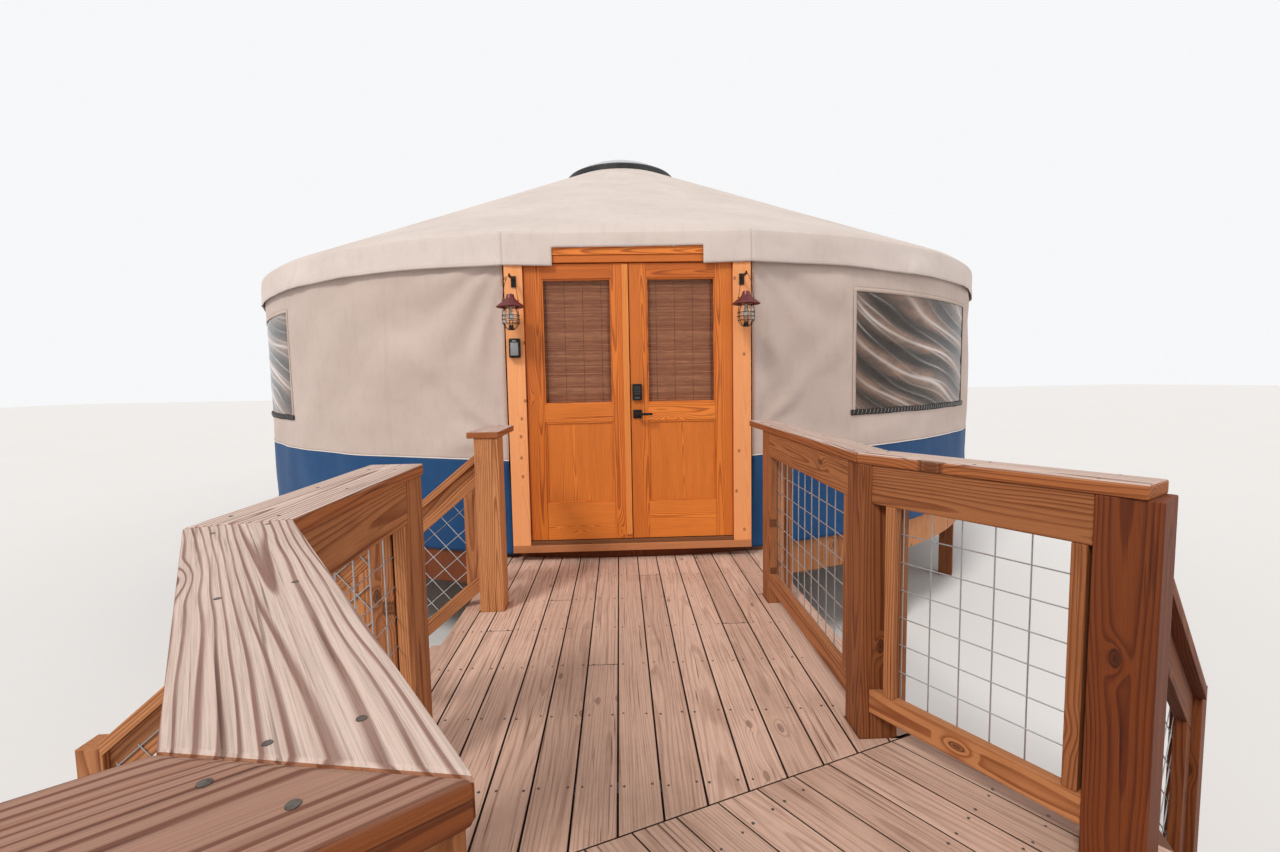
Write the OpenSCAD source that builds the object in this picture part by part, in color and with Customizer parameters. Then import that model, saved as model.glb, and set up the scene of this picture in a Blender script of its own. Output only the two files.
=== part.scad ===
// A round canvas yurt on a raised timber platform, with a bent entry deck and two stairs.
// Millimetres, +Z up. The origin is on the ground under the middle of the yurt.
// The door faces -Y.

/* [Yurt wall] */
// Outer radius of the wall cover
wall_r = 4572; // [3600:10:5000]
// Height of the wall from the floor to the top of the lattice
wall_h = 2235; // [2150:5:2700]
// Thickness of the insulated wall cover
cover_t = 10; // [4:1:20]
// Height of the top of the coloured band above the floor
band_top = 615; // [300:5:900]
// How far the cover's skirt hangs below the floor
skirt_drop = 110; // [20:5:150]
// Width of a lattice slat
slat_w = 38; // [25:1:50]
// Thickness of the lattice
slat_t = 26; // [16:1:40]
// Number of lattice panels round the whole circle
lattice_panels = 48; // [36:4:60]
// Diamonds up the height of the lattice
lattice_rows = 6; // [4:1:8]

/* [Yurt roof] */
// Slope of the roof in degrees
roof_pitch = 24.7; // [15:0.1:35]
// Overhang of the roof cover past the wall cover
roof_over = 30; // [15:1:80]
// Thickness of the roof cover
roof_t = 10; // [4:1:20]
// Depth of the valance that hangs from the eave
valance_h = 233; // [150:1:350]
// Thickness of the valance
valance_t = 5; // [3:1:10]
// Number of rafters
rafter_count = 48; // [24:4:60]
// Thickness of a rafter
rafter_w = 38; // [25:1:60]
// Depth of a rafter
rafter_d = 89; // [60:1:140]
// Outer radius of the compression ring
ring_r = 760; // [500:5:1000]
// Thickness of the compression ring
ring_t = 64; // [40:1:100]
// Height of the compression ring
ring_h = 150; // [100:5:250]
// Rise of the skylight dome
dome_rise = 230; // [120:5:350]

/* [Windows] */
// Width of a window in degrees of the wall
window_deg = 26; // [14:1:30]
// Direction of the middle of the right window, from the door
window_right_az = 36.8; // [28:0.2:60]
// Direction of the middle of the left window, from the door
window_left_az = -57; // [-70:0.2:-30]
// Height of the window sill above the floor
window_sill = 902; // [700:1:1100]
// Height of a window
window_h = 1000; // [600:5:1100]
// Width of the binding round a window
window_rim = 45; // [25:1:80]

/* [Doors] */
// Width of one door leaf
leaf_w = 754; // [600:1:900]
// Height of a door leaf
leaf_h = 2032; // [1900:1:2100]
// Thickness of a door leaf
leaf_t = 44; // [35:1:60]
// Gap round the door leaves
leaf_gap = 6; // [5:0.5:10]
// Width of the stiles of a leaf
stile_w = 125; // [90:1:160]
// Height of the top rail of a leaf
top_rail = 107; // [80:1:150]
// Height of the lock rail
lock_rail = 130; // [90:1:180]
// Height of the bottom rail
bottom_rail = 280; // [180:1:320]
// Height of the underside of the lock rail above the leaf's bottom
lock_rail_z = 885; // [800:1:980]
// Visible width of a door post
door_post_w = 131; // [90:1:160]
// Depth of the door posts and the header
door_post_d = 72; // [60:1:110]
// Height of the header
header_h = 140; // [90:1:180]
// How far the leaves sit back from the face of the posts
leaf_set = 22; // [10:1:28]
// Height of the lever above the leaf's bottom
lever_z = 935; // [900:1:1000]
// Height of the keypad lock above the leaf's bottom
keypad_z = 1097; // [1070:1:1200]

/* [Lanterns] */
// Radius of the lantern's cap
lantern_r = 100; // [60:1:120]
// Height of the lantern's brim above the door leaf's bottom
lantern_z = 1706; // [1500:1:1800]
// Reach of the lantern's bracket from the post
lantern_reach = 150; // [110:1:200]

/* [Platform] */
// Height of the deck above the ground
deck_z = 970; // [700:10:1400]
// Height of the yurt's floor above the deck
floor_rise = 145; // [100:5:200]
// Thickness of the floor
floor_t = 38; // [25:1:60]
// Height of the bent fascia
fascia_h = 340; // [200:5:400]
// Thickness of the fascia
fascia_t = 25; // [18:1:40]
// Width of the square posts
post_w = 140; // [90:1:180]
// Depth of the platform's joists
joist_h = 184; // [140:1:235]
// Depth of the platform's beams
beam_h = 235; // [184:1:290]
// Number of posts under the rim
rim_posts = 16; // [12:2:20]

/* [Entry deck] */
// Number of full boards across the deck
board_count = 13; // [11:1:15]
// Spacing of the deck boards
board_pitch = 143; // [120:1:160]
// Spacing of the two narrow boards at the left edge
edge_pitch = 101; // [60:1:140]
// Gap between two deck boards
board_gap = 5; // [3:0.5:8]
// Thickness of the deck boards
board_t = 38; // [25:1:45]
// Depth of the deck's framing
frame_h = 235; // [184:1:290]
// Distance of the deck's right bend from the yurt's middle
bend_y = 6805; // [6700:5:7300]
// Angle by which the deck bends
bend = 35.4; // [20:0.2:50]
// Angle of the mitre between the straight boards and the bent ones
mitre = 21; // [10:0.5:30]
// Length of the bent deck's left edge
bent_left = 922; // [800:2:1300]
// Distance of the third right post past the bend
bent_right = 624; // [600:2:800]
// Clear width of both stairs
stair_w = 1275; // [900:5:1400]
// Number of risers in a stair
risers = 5; // [4:1:7]
// Depth of a stair's step
going = 232; // [200:1:300]
// Width of the landing's left part
landing_w = 1200; // [900:10:1500]
// Height of the rail above the deck
rail_h = 1062; // [900:1:1150]
// Distance of the rail's posts from the deck's edge, to their middle
post_in = 176; // [110:1:200]
// The same distance at the bent deck's left edge
bent_post_in = 131; // [110:1:200]
// How far the caps run on past the first posts towards the house
cap_reach = 400; // [100:10:500]
// Width of the left rail's cap
cap_w = 184; // [140:1:240]
// Width of the right rail's cap
right_cap_w = 146; // [120:1:240]
// Thickness of the timbers of the rail
rail_t = 38; // [25:1:45]
// Height of the upper rail board
rail_top_h = 140; // [90:1:184]
// Height of the lower rail board
rail_low_h = 89; // [60:1:140]
// Mesh size of the welded wire
wire_pitch = 100; // [60:5:150]
// Thickness of the wire
wire_d = 6; // [4:0.5:10]

/* [Hidden] */

// Facets round the big circles of the yurt
big_fn = 256;
// Clearance between pieces that are seated on each other
seat = 0.3;
// Hairline joint between two pieces of one ring, in degrees
joint_deg = 0.01;

deck_w = board_count * board_pitch + 2 * edge_pitch;
floor_z = deck_z + floor_rise;
leaf_z = floor_z + 12;
wall_top = floor_z + wall_h;
lattice_r = wall_r - cover_t - slat_t / 2 - 14;
cable_r = 5;
roof_tan = tan(roof_pitch);
rafter_v = rafter_d / cos(roof_pitch);
roof_r = wall_r + roof_over;
// Height of the roof cover's underside above the lattice's circle
roof_seat_z = wall_top + cable_r + (cable_r + seat) / cos(roof_pitch) + rafter_v + seat;
function roof_z(r) = roof_seat_z + (lattice_r - r) * roof_tan;
eave_z = roof_z(roof_r);
valance_z = eave_z - valance_h;
band_z = floor_z + band_top;
skirt_z = floor_z - skirt_drop;
fascia_r = wall_r - cover_t - 10;
fascia_z = floor_z - floor_t - fascia_h;
joist_z = floor_z - floor_t - joist_h;
beam_z = joist_z - beam_h;

door_half = leaf_w + 1.5 * leaf_gap;
door_out = door_half + door_post_w;
door_y = -(wall_r + 50);
door_back = door_y + door_post_d;
leaf_y = door_y + leaf_set;
door_deg = asin((door_out + 4) / wall_r);
header_z = leaf_z + leaf_h + leaf_gap;

// A piece of a ring, from one radius to another, between two directions from the door
module arc_piece(r0, r1, z0, z1, from_deg, to_deg) {
    rotate([0, 0, from_deg - 90])
        rotate_extrude(angle = to_deg - from_deg, $fn = big_fn)
            translate([r0, z0]) square([r1 - r0, z1 - z0]);
}

// Platform

inner_posts = [[0, 0], [-1900, 0], [1900, 0], [-1500, 2200], [1500, 2200], [-1500, -2200], [1500, -2200]];
rim_post_r = fascia_r - fascia_t - post_w / 2 - 40;
function polar(r, deg) = [r * sin(deg), -r * cos(deg)];
rim_step = 360 / rim_posts;

module platform_posts() {
    color("peru") {
        for (p = inner_posts)
            translate([p[0] - post_w / 2, p[1] - post_w / 2, 0]) cube([post_w, post_w, beam_z]);
        for (i = [0 : rim_posts - 1])
            rotate([0, 0, (i + 0.5) * rim_step])
                translate([-post_w / 2, -rim_post_r - post_w / 2, 0]) cube([post_w, post_w, beam_z]);
    }
}

girder_y = [-2200, 0, 2200];
girder_w = 90;

module platform_beams() {
    rim_beam_l = 2 * rim_post_r * sin(rim_step / 2) - 40;
    color("chocolate") {
        for (i = [0 : rim_posts - 1])
            rotate([0, 0, i * rim_step])
                translate([-rim_beam_l / 2, -rim_post_r * cos(rim_step / 2) - girder_w / 2, beam_z])
                    cube([rim_beam_l, girder_w, beam_h]);
        for (y = girder_y) {
            half = sqrt(pow(rim_post_r * cos(rim_step / 2) - girder_w, 2) - y * y) - 30;
            translate([-half, y - girder_w / 2, beam_z]) cube([2 * half, girder_w, beam_h]);
        }
    }
}

joist_pitch = 600;
joist_w = 38;
joist_side = floor((fascia_r - fascia_t - 200) / joist_pitch);

module floor_joists() {
    color("sienna")
        for (i = [-joist_side : joist_side]) {
            x = i * joist_pitch;
            half = sqrt(pow(fascia_r - fascia_t - 5, 2) - pow(abs(x) + joist_w / 2, 2));
            translate([x - joist_w / 2, -half, joist_z]) cube([joist_w, 2 * half, joist_h]);
        }
}

fascia_parts = 16;

module platform_fascia() {
    color("chocolate")
        for (i = [0 : fascia_parts - 1])
            arc_piece(fascia_r - fascia_t, fascia_r, fascia_z, floor_z - floor_t - seat,
                (i - 0.5) * 360 / fascia_parts + joint_deg, (i + 0.5) * 360 / fascia_parts - joint_deg);
}

module floor() {
    color("burlywood")
        translate([0, 0, floor_z - floor_t]) cylinder(r = fascia_r, h = floor_t, $fn = big_fn);
}

// Lattice wall

panel_deg = 360 / lattice_panels;
panel_w = 2 * lattice_r * tan(panel_deg / 2) - 2;
door_panels = ceil((door_deg - 0.3) / panel_deg + 0.5) - 1;

// One flat lattice panel, two diamonds wide, from its slats' crossings
module lattice_panel() {
    cell_w = panel_w / 2;
    cell_h = wall_h / lattice_rows;
    hole_w = cell_w - slat_w * norm([cell_w, cell_h]) / cell_h;
    hole_h = cell_h - slat_w * norm([cell_w, cell_h]) / cell_w;
    translate([0, -lattice_r + slat_t / 2, floor_z])
        rotate([90, 0, 0])
            linear_extrude(slat_t)
                difference() {
                    translate([-panel_w / 2, 0]) square([panel_w, wall_h]);
                    for (i = [-2 : 2], j = [0 : 2 * lattice_rows])
                        if ((i + j) % 2 != 0)
                            translate([i * cell_w / 2, j * cell_h / 2])
                                polygon([[-hole_w / 2, 0], [0, -hole_h / 2], [hole_w / 2, 0], [0, hole_h / 2]]);
                }
}

module lattice_quadrant(first, last) {
    color("tan")
        for (i = [first : last])
            rotate([0, 0, i * panel_deg]) lattice_panel();
}

quarter = lattice_panels / 4;

module lattice_front_right() lattice_quadrant(door_panels + 1, quarter);
module lattice_back_right() lattice_quadrant(quarter + 1, 2 * quarter);
module lattice_back_left() lattice_quadrant(2 * quarter + 1, 3 * quarter);
module lattice_front_left() lattice_quadrant(3 * quarter + 1, 4 * quarter - door_panels - 1);

module tension_cable() {
    color("silver")
        rotate_extrude($fn = big_fn)
            translate([lattice_r, wall_top + cable_r]) circle(r = cable_r, $fn = 16);
}

// Roof frame

module rafters() {
    out_r = wall_r - cover_t - 2 * seat;
    color("burlywood")
        for (i = [0 : rafter_count - 1])
            rotate([0, 0, (i + 0.5) * 360 / rafter_count])
                translate([-rafter_w / 2, 0, 0])
                    rotate([90, 0, 90])
                        linear_extrude(rafter_w)
                            polygon([
                                [-ring_r - seat, roof_z(ring_r) - seat],
                                [-ring_r - seat, roof_z(ring_r) - seat - rafter_v],
                                [-out_r, roof_z(out_r) - seat - rafter_v],
                                [-out_r, roof_z(out_r) - seat]
                            ]);
}

ring_top = roof_z(ring_r) - seat;
ring_parts = 8;

module compression_ring() {
    color("burlywood")
        for (i = [0 : ring_parts - 1])
            arc_piece(ring_r - ring_t, ring_r, ring_top - ring_h, ring_top,
                i * 360 / ring_parts + joint_deg, (i + 1) * 360 / ring_parts - joint_deg);
}

rim_in = ring_r - ring_t + 10;
rim_out = ring_r + 28;
rim_z = roof_z(ring_r - 20) + roof_t / cos(roof_pitch) + seat;
rim_h = 62;

module skylight_rim() {
    color("black")
        for (i = [0 : ring_parts - 1])
            rotate([0, 0, i * 360 / ring_parts + joint_deg])
                rotate_extrude(angle = 360 / ring_parts - 2 * joint_deg, $fn = big_fn)
                    polygon([
                        [rim_in, rim_z], [ring_r - 20, rim_z],
                        [rim_out, rim_z - (rim_out - ring_r + 20) * roof_tan],
                        [rim_out, rim_z + rim_h - 20], [rim_out - 20, rim_z + rim_h], [rim_in, rim_z + rim_h]
                    ]);
}

module skylight_dome() {
    dome_r = ring_r - 6;
    ball = (dome_r * dome_r + dome_rise * dome_rise) / (2 * dome_rise);
    color("white", 0.6)
        translate([0, 0, rim_z + rim_h + seat])
            intersection() {
                translate([0, 0, dome_rise - ball])
                    difference() {
                        sphere(r = ball, $fn = big_fn);
                        sphere(r = ball - 6, $fn = big_fn);
                    }
                cylinder(r = dome_r + 10, h = dome_rise + 10, $fn = big_fn);
            }
}

// Covers

roof_parts = 24;
cover_in = ring_r - 20;

module roof_cover() {
    lift = roof_t / cos(roof_pitch);
    color("linen")
        for (i = [0 : roof_parts - 1])
            rotate([0, 0, (i - 0.5) * 360 / roof_parts + joint_deg - 90])
                rotate_extrude(angle = 360 / roof_parts - 2 * joint_deg, $fn = big_fn)
                    polygon([
                        [cover_in, roof_z(cover_in)], [roof_r, eave_z],
                        [roof_r, eave_z + lift], [cover_in, roof_z(cover_in) + lift]
                    ]);
}

// The valance hangs inside the eave's edge all round, and in front of the frame beside the door
door_flap_half = 542;
flap_y = door_y - seat;
valance_deg = asin((door_out + 12) / (roof_r - valance_t));
valance_parts = 22;

module valance() {
    sweep = (360 - 2 * valance_deg) / valance_parts;
    color("antiquewhite")
        for (i = [0 : valance_parts - 1])
            arc_piece(roof_r - valance_t, roof_r, valance_z, eave_z - seat,
                valance_deg + i * sweep + joint_deg, valance_deg + (i + 1) * sweep - joint_deg);
}

module door_valance() {
    color("antiquewhite") {
        for (side = [-1, 1])
            translate([side > 0 ? door_flap_half + 2 : -door_out - 10, flap_y - valance_t, valance_z])
                cube([door_out + 8 - door_flap_half, valance_t, valance_h - seat]);
        translate([-door_flap_half, flap_y - valance_t, header_z + header_h - 58])
            cube([2 * door_flap_half, valance_t, eave_z - seat - header_z - header_h + 58]);
    }
}

// Ranges of direction that the wall cover is cut into, between the door and the windows
wall_cuts = [window_right_az, 180 - window_right_az, 180 + abs(window_left_az), 360 - abs(window_left_az)];
strip_deg = 18;

// Strips of cover between two directions, none wider than strip_deg
module cover_strips(from_deg, to_deg, z0, z1, r = wall_r, t = cover_t) {
    n = ceil((to_deg - from_deg) / strip_deg);
    step = (to_deg - from_deg) / n;
    for (i = [0 : n - 1])
        arc_piece(r - t, r, z0, z1, from_deg + i * step + joint_deg, from_deg + (i + 1) * step - joint_deg);
}

cover_top = wall_top + 30;
half_win = window_deg / 2;
win_z0 = floor_z + window_sill;
win_z1 = win_z0 + window_h;

module wall_cover() {
    starts = concat([door_deg], [for (c = wall_cuts) c + half_win]);
    ends = concat([for (c = wall_cuts) c - half_win], [360 - door_deg]);
    color("tan") {
        for (i = [0 : len(starts) - 1])
            cover_strips(starts[i], ends[i], band_z + seat, cover_top);
        for (c = wall_cuts) {
            cover_strips(c - half_win, c + half_win, band_z + seat, win_z0);
            cover_strips(c - half_win, c + half_win, win_z1, cover_top);
        }
    }
}

module skirt_band() {
    color("steelblue")
        cover_strips(door_deg, 360 - door_deg, skirt_z, band_z);
}

pane_t = 3;
pane_r = wall_r - 1;

module window_panes() {
    color("lightcyan", 0.5)
        for (c = wall_cuts)
            cover_strips(c - half_win, c + half_win, win_z0 + seat, win_z1 - seat, pane_r, pane_t);
}

module window_screens() {
    color("dimgray")
        for (c = wall_cuts)
            cover_strips(c - half_win, c + half_win, win_z0 + seat, win_z1 - seat, pane_r - pane_t - seat, 2);
}

module window_bindings() {
    rim_deg = asin(window_rim / wall_r);
    rim_r = wall_r + seat + 3;
    color("antiquewhite")
        for (c = wall_cuts) {
            a = c - half_win;
            b = c + half_win;
            for (side = [a - rim_deg / 2, b - rim_deg / 2])
                arc_piece(wall_r + seat, rim_r, win_z0 - window_rim / 2, win_z1 + window_rim / 2, side, side + rim_deg);
            for (z = [win_z0 - window_rim / 2, win_z1 - window_rim / 2])
                cover_ring(a + rim_deg / 2 + joint_deg, b - rim_deg / 2 - joint_deg, z, z + window_rim, rim_r);
        }
}

module cover_ring(from_deg, to_deg, z0, z1, r) {
    cover_strips(from_deg, to_deg, z0, z1, r, 3);
}

// Door frame

sill_h = 53;
sill_z = floor_z - 22;

module door_posts() {
    color("sandybrown")
        for (side = [-1, 1])
            translate([side > 0 ? door_half : -door_out, door_y, sill_z + seat])
                cube([door_post_w, door_post_d, header_z - sill_z - 2 * seat]);
}

module door_header() {
    color("chocolate")
        translate([-door_out, door_y, header_z]) cube([2 * door_out, door_post_d, header_h]);
}

module door_sill() {
    front = door_y - 6;
    color("goldenrod")
        translate([-door_out, front, sill_z - sill_h]) cube([2 * door_out, -fascia_r - seat - front, sill_h]);
}

// The threshold lies on the sill between the posts, and its top is just under the leaves
module door_threshold() {
    color("saddlebrown")
        translate([-door_half + seat, door_y + 8, sill_z + seat])
            cube([2 * door_half - 2 * seat, -fascia_r - seat - door_y - 8, leaf_z - leaf_gap - sill_z - seat]);
}

// Door leaves, drawn with the hinge stile at x = 0 and the leaf running to +x

module leaf_frame() {
    glass_z = lock_rail_z + lock_rail;
    glass_h = leaf_h - top_rail - glass_z;
    panel_h = lock_rail_z - bottom_rail;
    in_w = leaf_w - 2 * stile_w;
    difference() {
        cube([leaf_w, leaf_t, leaf_h]);
        translate([stile_w, -1, glass_z]) cube([in_w, leaf_t + 2, glass_h]);
        translate([stile_w, -1, bottom_rail]) cube([in_w, 13, panel_h]);
        translate([stile_w, leaf_t - 12, bottom_rail]) cube([in_w, 13, panel_h]);
    }
}

module glass_sheet() {
    glass_z = lock_rail_z + lock_rail;
    translate([stile_w + seat, leaf_t / 2 - 5, glass_z + seat])
        cube([leaf_w - 2 * stile_w - 2 * seat, 6, leaf_h - top_rail - glass_z - 2 * seat]);
}

blind_over = 18;

module blind_sheet() {
    glass_z = lock_rail_z + lock_rail;
    translate([stile_w - blind_over, leaf_t + seat, glass_z - blind_over])
        cube([leaf_w - 2 * stile_w + 2 * blind_over, 8, leaf_h - top_rail - glass_z + 2 * blind_over]);
}

module at_left() translate([-door_half + leaf_gap, leaf_y, leaf_z]) children();
module at_right() translate([door_half - leaf_gap, leaf_y, leaf_z]) mirror([1, 0, 0]) children();

module left_leaf() color("chocolate") at_left() leaf_frame();
module left_glass() color("lightcyan", 0.5) at_left() glass_sheet();
module left_blind() color("saddlebrown") at_left() blind_sheet();
module right_leaf() color("chocolate") at_right() leaf_frame();
module right_glass() color("lightcyan", 0.5) at_right() glass_sheet();
module right_blind() color("saddlebrown") at_right() blind_sheet();

batten_w = 45;

module meeting_batten() {
    color("sandybrown")
        translate([-batten_w - leaf_gap / 2, leaf_y - 12 - seat, leaf_z + 30])
            cube([batten_w, 12, leaf_h - 40]);
}

lock_x = 50;

module door_locks() {
    color("black")
        translate([lock_x, leaf_y, leaf_z]) {
            translate([-35, -24 - seat, keypad_z - 60]) cube([70, 24, 120]);
            translate([0, leaf_t + seat, keypad_z]) rotate([-90, 0, 0]) cylinder(r = 30, h = 18, $fn = 48);
            for (y = [-9 - seat, leaf_t + seat]) translate([-32, y, lever_z - 32]) cube([64, 9, 64]);
        }
}

module door_lever() {
    color("black")
        for (side = [0, 1])
            translate([lock_x, leaf_y + leaf_t / 2, leaf_z + lever_z])
                mirror([0, side, 0])
                    translate([0, -leaf_t / 2 - 9 - 2 * seat, 0]) {
                        rotate([90, 0, 0]) cylinder(r = 11, h = 42, $fn = 32);
                        translate([-10, -54, -9]) cube([118, 14, 18]);
                    }
}

// Hinges on the room side: the post's two knuckles with the leaf's knuckle between them

pin_r = 6.5;
pin_x = door_half - leaf_gap / 2;
pin_y = door_back + pin_r + seat;
knuckle_h = 30;
hinge_z = [200, leaf_h / 2, leaf_h - 200];
plate_w = 32;
hinge_t = 2.5;

module at_hinges(side) {
    for (z = hinge_z)
        translate([side * pin_x, pin_y, leaf_z + z]) mirror([side > 0 ? 1 : 0, 0, 0]) children();
}

module post_knuckles() {
    for (z = [-1.5 * knuckle_h, 0.5 * knuckle_h + seat])
        translate([0, 0, z])
            linear_extrude(knuckle_h - seat) {
                circle(r = pin_r, $fn = 48);
                translate([-plate_w, -pin_r]) square([plate_w, hinge_t]);
            }
}

module leaf_knuckle() {
    face = pin_y - leaf_y - leaf_t - seat;
    edge = leaf_gap / 2;
    translate([0, 0, -0.5 * knuckle_h])
        linear_extrude(knuckle_h) {
            circle(r = pin_r, $fn = 48);
            translate([edge, -face]) square([hinge_t, face]);
            translate([edge, -face]) square([plate_w, hinge_t]);
        }
}

module post_hinges() color("dimgray") for (side = [-1, 1]) at_hinges(side) post_knuckles();
module left_hinges() color("dimgray") at_hinges(-1) leaf_knuckle();
module right_hinges() color("dimgray") at_hinges(1) leaf_knuckle();

// Lanterns on the door posts, and the key box

lantern_x = door_half + 62;
lantern_y = door_y - lantern_reach;
brim_z = leaf_z + lantern_z;
arm_z = brim_z + 205;
arm_w = 12;
plate_t = 8;

module at_lanterns() {
    for (side = [-1, 1])
        translate([side * lantern_x, 0, 0]) children();
}

module lantern_brackets() {
    color("black")
        at_lanterns() {
            translate([-18, door_y - plate_t - seat, brim_z + 158]) cube([36, plate_t, 80]);
            translate([-arm_w / 2, lantern_y - 14, arm_z])
                cube([arm_w, lantern_reach + 14 - plate_t, arm_w]);
            translate([-arm_w / 2, lantern_y - 14, arm_z]) cube([arm_w, 6, 24]);
        }
}

module lantern_caps() {
    collar = 42;
    color("maroon")
        at_lanterns()
            translate([0, lantern_y, brim_z])
                rotate_extrude($fn = 72)
                    polygon([
                        [0, 92], [24, 90], [30, 64], [52, 40], [86, 16], [lantern_r, 0],
                        [lantern_r - 6, 0], [82, 10], [48, 32], [collar, 34], [collar, seat], [0, seat]
                    ]);
}

globe_h = 126;

module lantern_globes() {
    color("white", 0.5)
        at_lanterns()
            translate([0, lantern_y, brim_z - globe_h])
                rotate_extrude($fn = 72)
                    polygon([
                        [38, globe_h], [34, globe_h], [34, 108], [50, 78], [50, 36], [34, 8], [0, 4],
                        [0, 0], [36, 4], [54, 34], [54, 80], [38, 110]
                    ]);
}

// Outer and inner outline of the wire cage's ribs, from the foot up to the cap
cage_h = 188;
cage_foot = 158;
wire_w = 5;
cage_outer = [[26, 0], [62, 45], [62, 100], [50, cage_h]];
cage_inner = [[21, wire_w], [57, 46], [57, 100], [45, cage_h + 5]];
function both_sides(half) = concat(half, [for (i = [len(half) - 1 : -1 : 0]) [-half[i][0], half[i][1]]]);

module cage_rib() {
    rotate([90, 0, 0])
        linear_extrude(wire_w, center = true)
            difference() {
                polygon(both_sides(cage_outer));
                polygon(both_sides(cage_inner));
            }
}

module lantern_cages() {
    foot_r = 22;
    color("black")
        at_lanterns()
            translate([0, lantern_y, brim_z - cage_foot]) {
                for (turn = [0, 60, 120]) rotate([0, 0, turn]) cage_rib();
                for (z = [45, 97])
                    translate([0, 0, z])
                        rotate_extrude($fn = 72) translate([61 - wire_w, 0]) square(wire_w);
                cylinder(r = foot_r, h = wire_w - 1, $fn = 48);
                cylinder(r = 18, h = cage_foot - globe_h - seat, $fn = 48);
            }
}

// The wire handles that hang the lanterns on their arms
module bail_outline(inset) {
    foot = [56, 40 + seat];
    top = arm_z - brim_z + arm_w + seat + 4 - inset;
    polygon([
        [-foot[0] + inset, foot[1]], [-16 + inset, top - 18], [-8, top], [8, top], [16 - inset, top - 18],
        [foot[0] - inset, foot[1]]
    ]);
}

module lantern_bails() {
    color("black")
        at_lanterns()
            translate([0, lantern_y, brim_z])
                rotate([90, 0, 0])
                    linear_extrude(4, center = true)
                        difference() {
                            bail_outline(0);
                            bail_outline(4);
                        }
}

key_box_size = [80, 42, 138];

module key_box() {
    color("dimgray")
        translate([
            -door_half - door_post_w / 2 - key_box_size[0] / 2,
            door_y - key_box_size[1] - seat,
            leaf_z + 1430 - key_box_size[2] / 2
        ])
            cube(key_box_size);
}

// Entry deck. The bent part has its own frame: its right edge is on x = 0, and it runs to -y.

half_deck = deck_w / 2;
frame_w = 38;
rail_x = half_deck - post_in;
// How far the boards run out past the rim timbers, which stand against the posts
rim_over = post_in - post_w / 2 - 3 * seat - frame_w;
bent_rim_over = bent_post_in - post_w / 2 - 3 * seat - frame_w;
bent_mitre = bend - mitre;
bent_boards_n = round(deck_w / cos(mitre) * cos(bent_mitre) / board_pitch);
landing_boards_n = round(landing_w / board_pitch);
bent_w = bent_boards_n * board_pitch;
landing_near = bent_w * tan(bent_mitre) - bent_left;
landing_far = -(bent_right + post_w + stair_w + post_in);
landing_left = -bent_w - landing_boards_n * board_pitch;

module bent_frame() translate([half_deck, -bend_y, 0]) rotate([0, 0, bend]) children();
function bent_point(p) =
    [half_deck + p[0] * cos(bend) - p[1] * sin(bend), -bend_y + p[0] * sin(bend) + p[1] * cos(bend)];
function mitre_y(x) = -bend_y - (half_deck - x) * tan(mitre);
function bent_mitre_y(x) = -x * tan(bent_mitre);

// Posts of the rail: the second one stands just before the bend, and c just after it
post_2 = [rail_x, mitre_y(rail_x) + 110];
post_1 = [rail_x, post_2[1] + 1300];
post_a = [-rail_x, post_1[1]];
post_b = [-rail_x, post_a[1] - stair_w - post_w];
post_c = [-rail_x, mitre_y(-rail_x) - 104];
straight_posts = [post_1, post_2, post_a, post_b, post_c];
bent_3 = [-post_in, -bent_right];
bent_4 = [-post_in, bent_3[1] - stair_w - post_w];
bent_d = [bent_post_in - bent_w, landing_near - post_in];
bent_e = [landing_left + post_in, bent_d[1]];
bent_f = [landing_left + post_in, bent_4[1]];
bent_g = [(bent_f[0] + bent_4[0]) / 2, bent_4[1]];
bent_posts = [bent_3, bent_4, bent_d, bent_e, bent_f, bent_g];
cap_z = deck_z + rail_h - rail_t;
post_top = cap_z - seat;

// A square post with its middle on a point of the plan
module square_post(p, h, grow = 0, z = 0) {
    w = post_w + 2 * grow;
    translate([p[0] - w / 2, p[1] - w / 2, z]) cube([w, w, h]);
}

module deck_posts() {
    color("sienna") {
        for (p = straight_posts) square_post(p, post_top);
        bent_frame() for (p = bent_posts) square_post(p, post_top);
    }
}

// The room that every deck and rail piece leaves to the posts
module post_room(grow, z, h) {
    for (p = straight_posts) square_post(p, h, grow, z);
    bent_frame() for (p = bent_posts) square_post(p, h, grow, z);
}

frame_z = deck_z - board_t - frame_h;
frame_pitch = 410;
house_gap = 8;
function house_y(x) = -sqrt(pow(fascia_r + house_gap, 2) - x * x);
ledger_y = -fascia_r - seat - frame_w;
// The timbers and boards keep this far off the mitre's line on both sides
mitre_gap = 3;

module frame_rect(x0, y0, x1, y1) {
    translate([x0, y0, frame_z]) cube([x1 - x0, y1 - y0, frame_h - seat]);
}

// A timber along the deck's edge, cut off at the bend's mitre
module frame_edge(x0, x1, far, mitred) {
    translate([0, 0, frame_z])
        linear_extrude(frame_h - seat)
            polygon([[x0, far], [x1, far], [x1, mitred[1]], [x0, mitred[0]]]);
}

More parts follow.
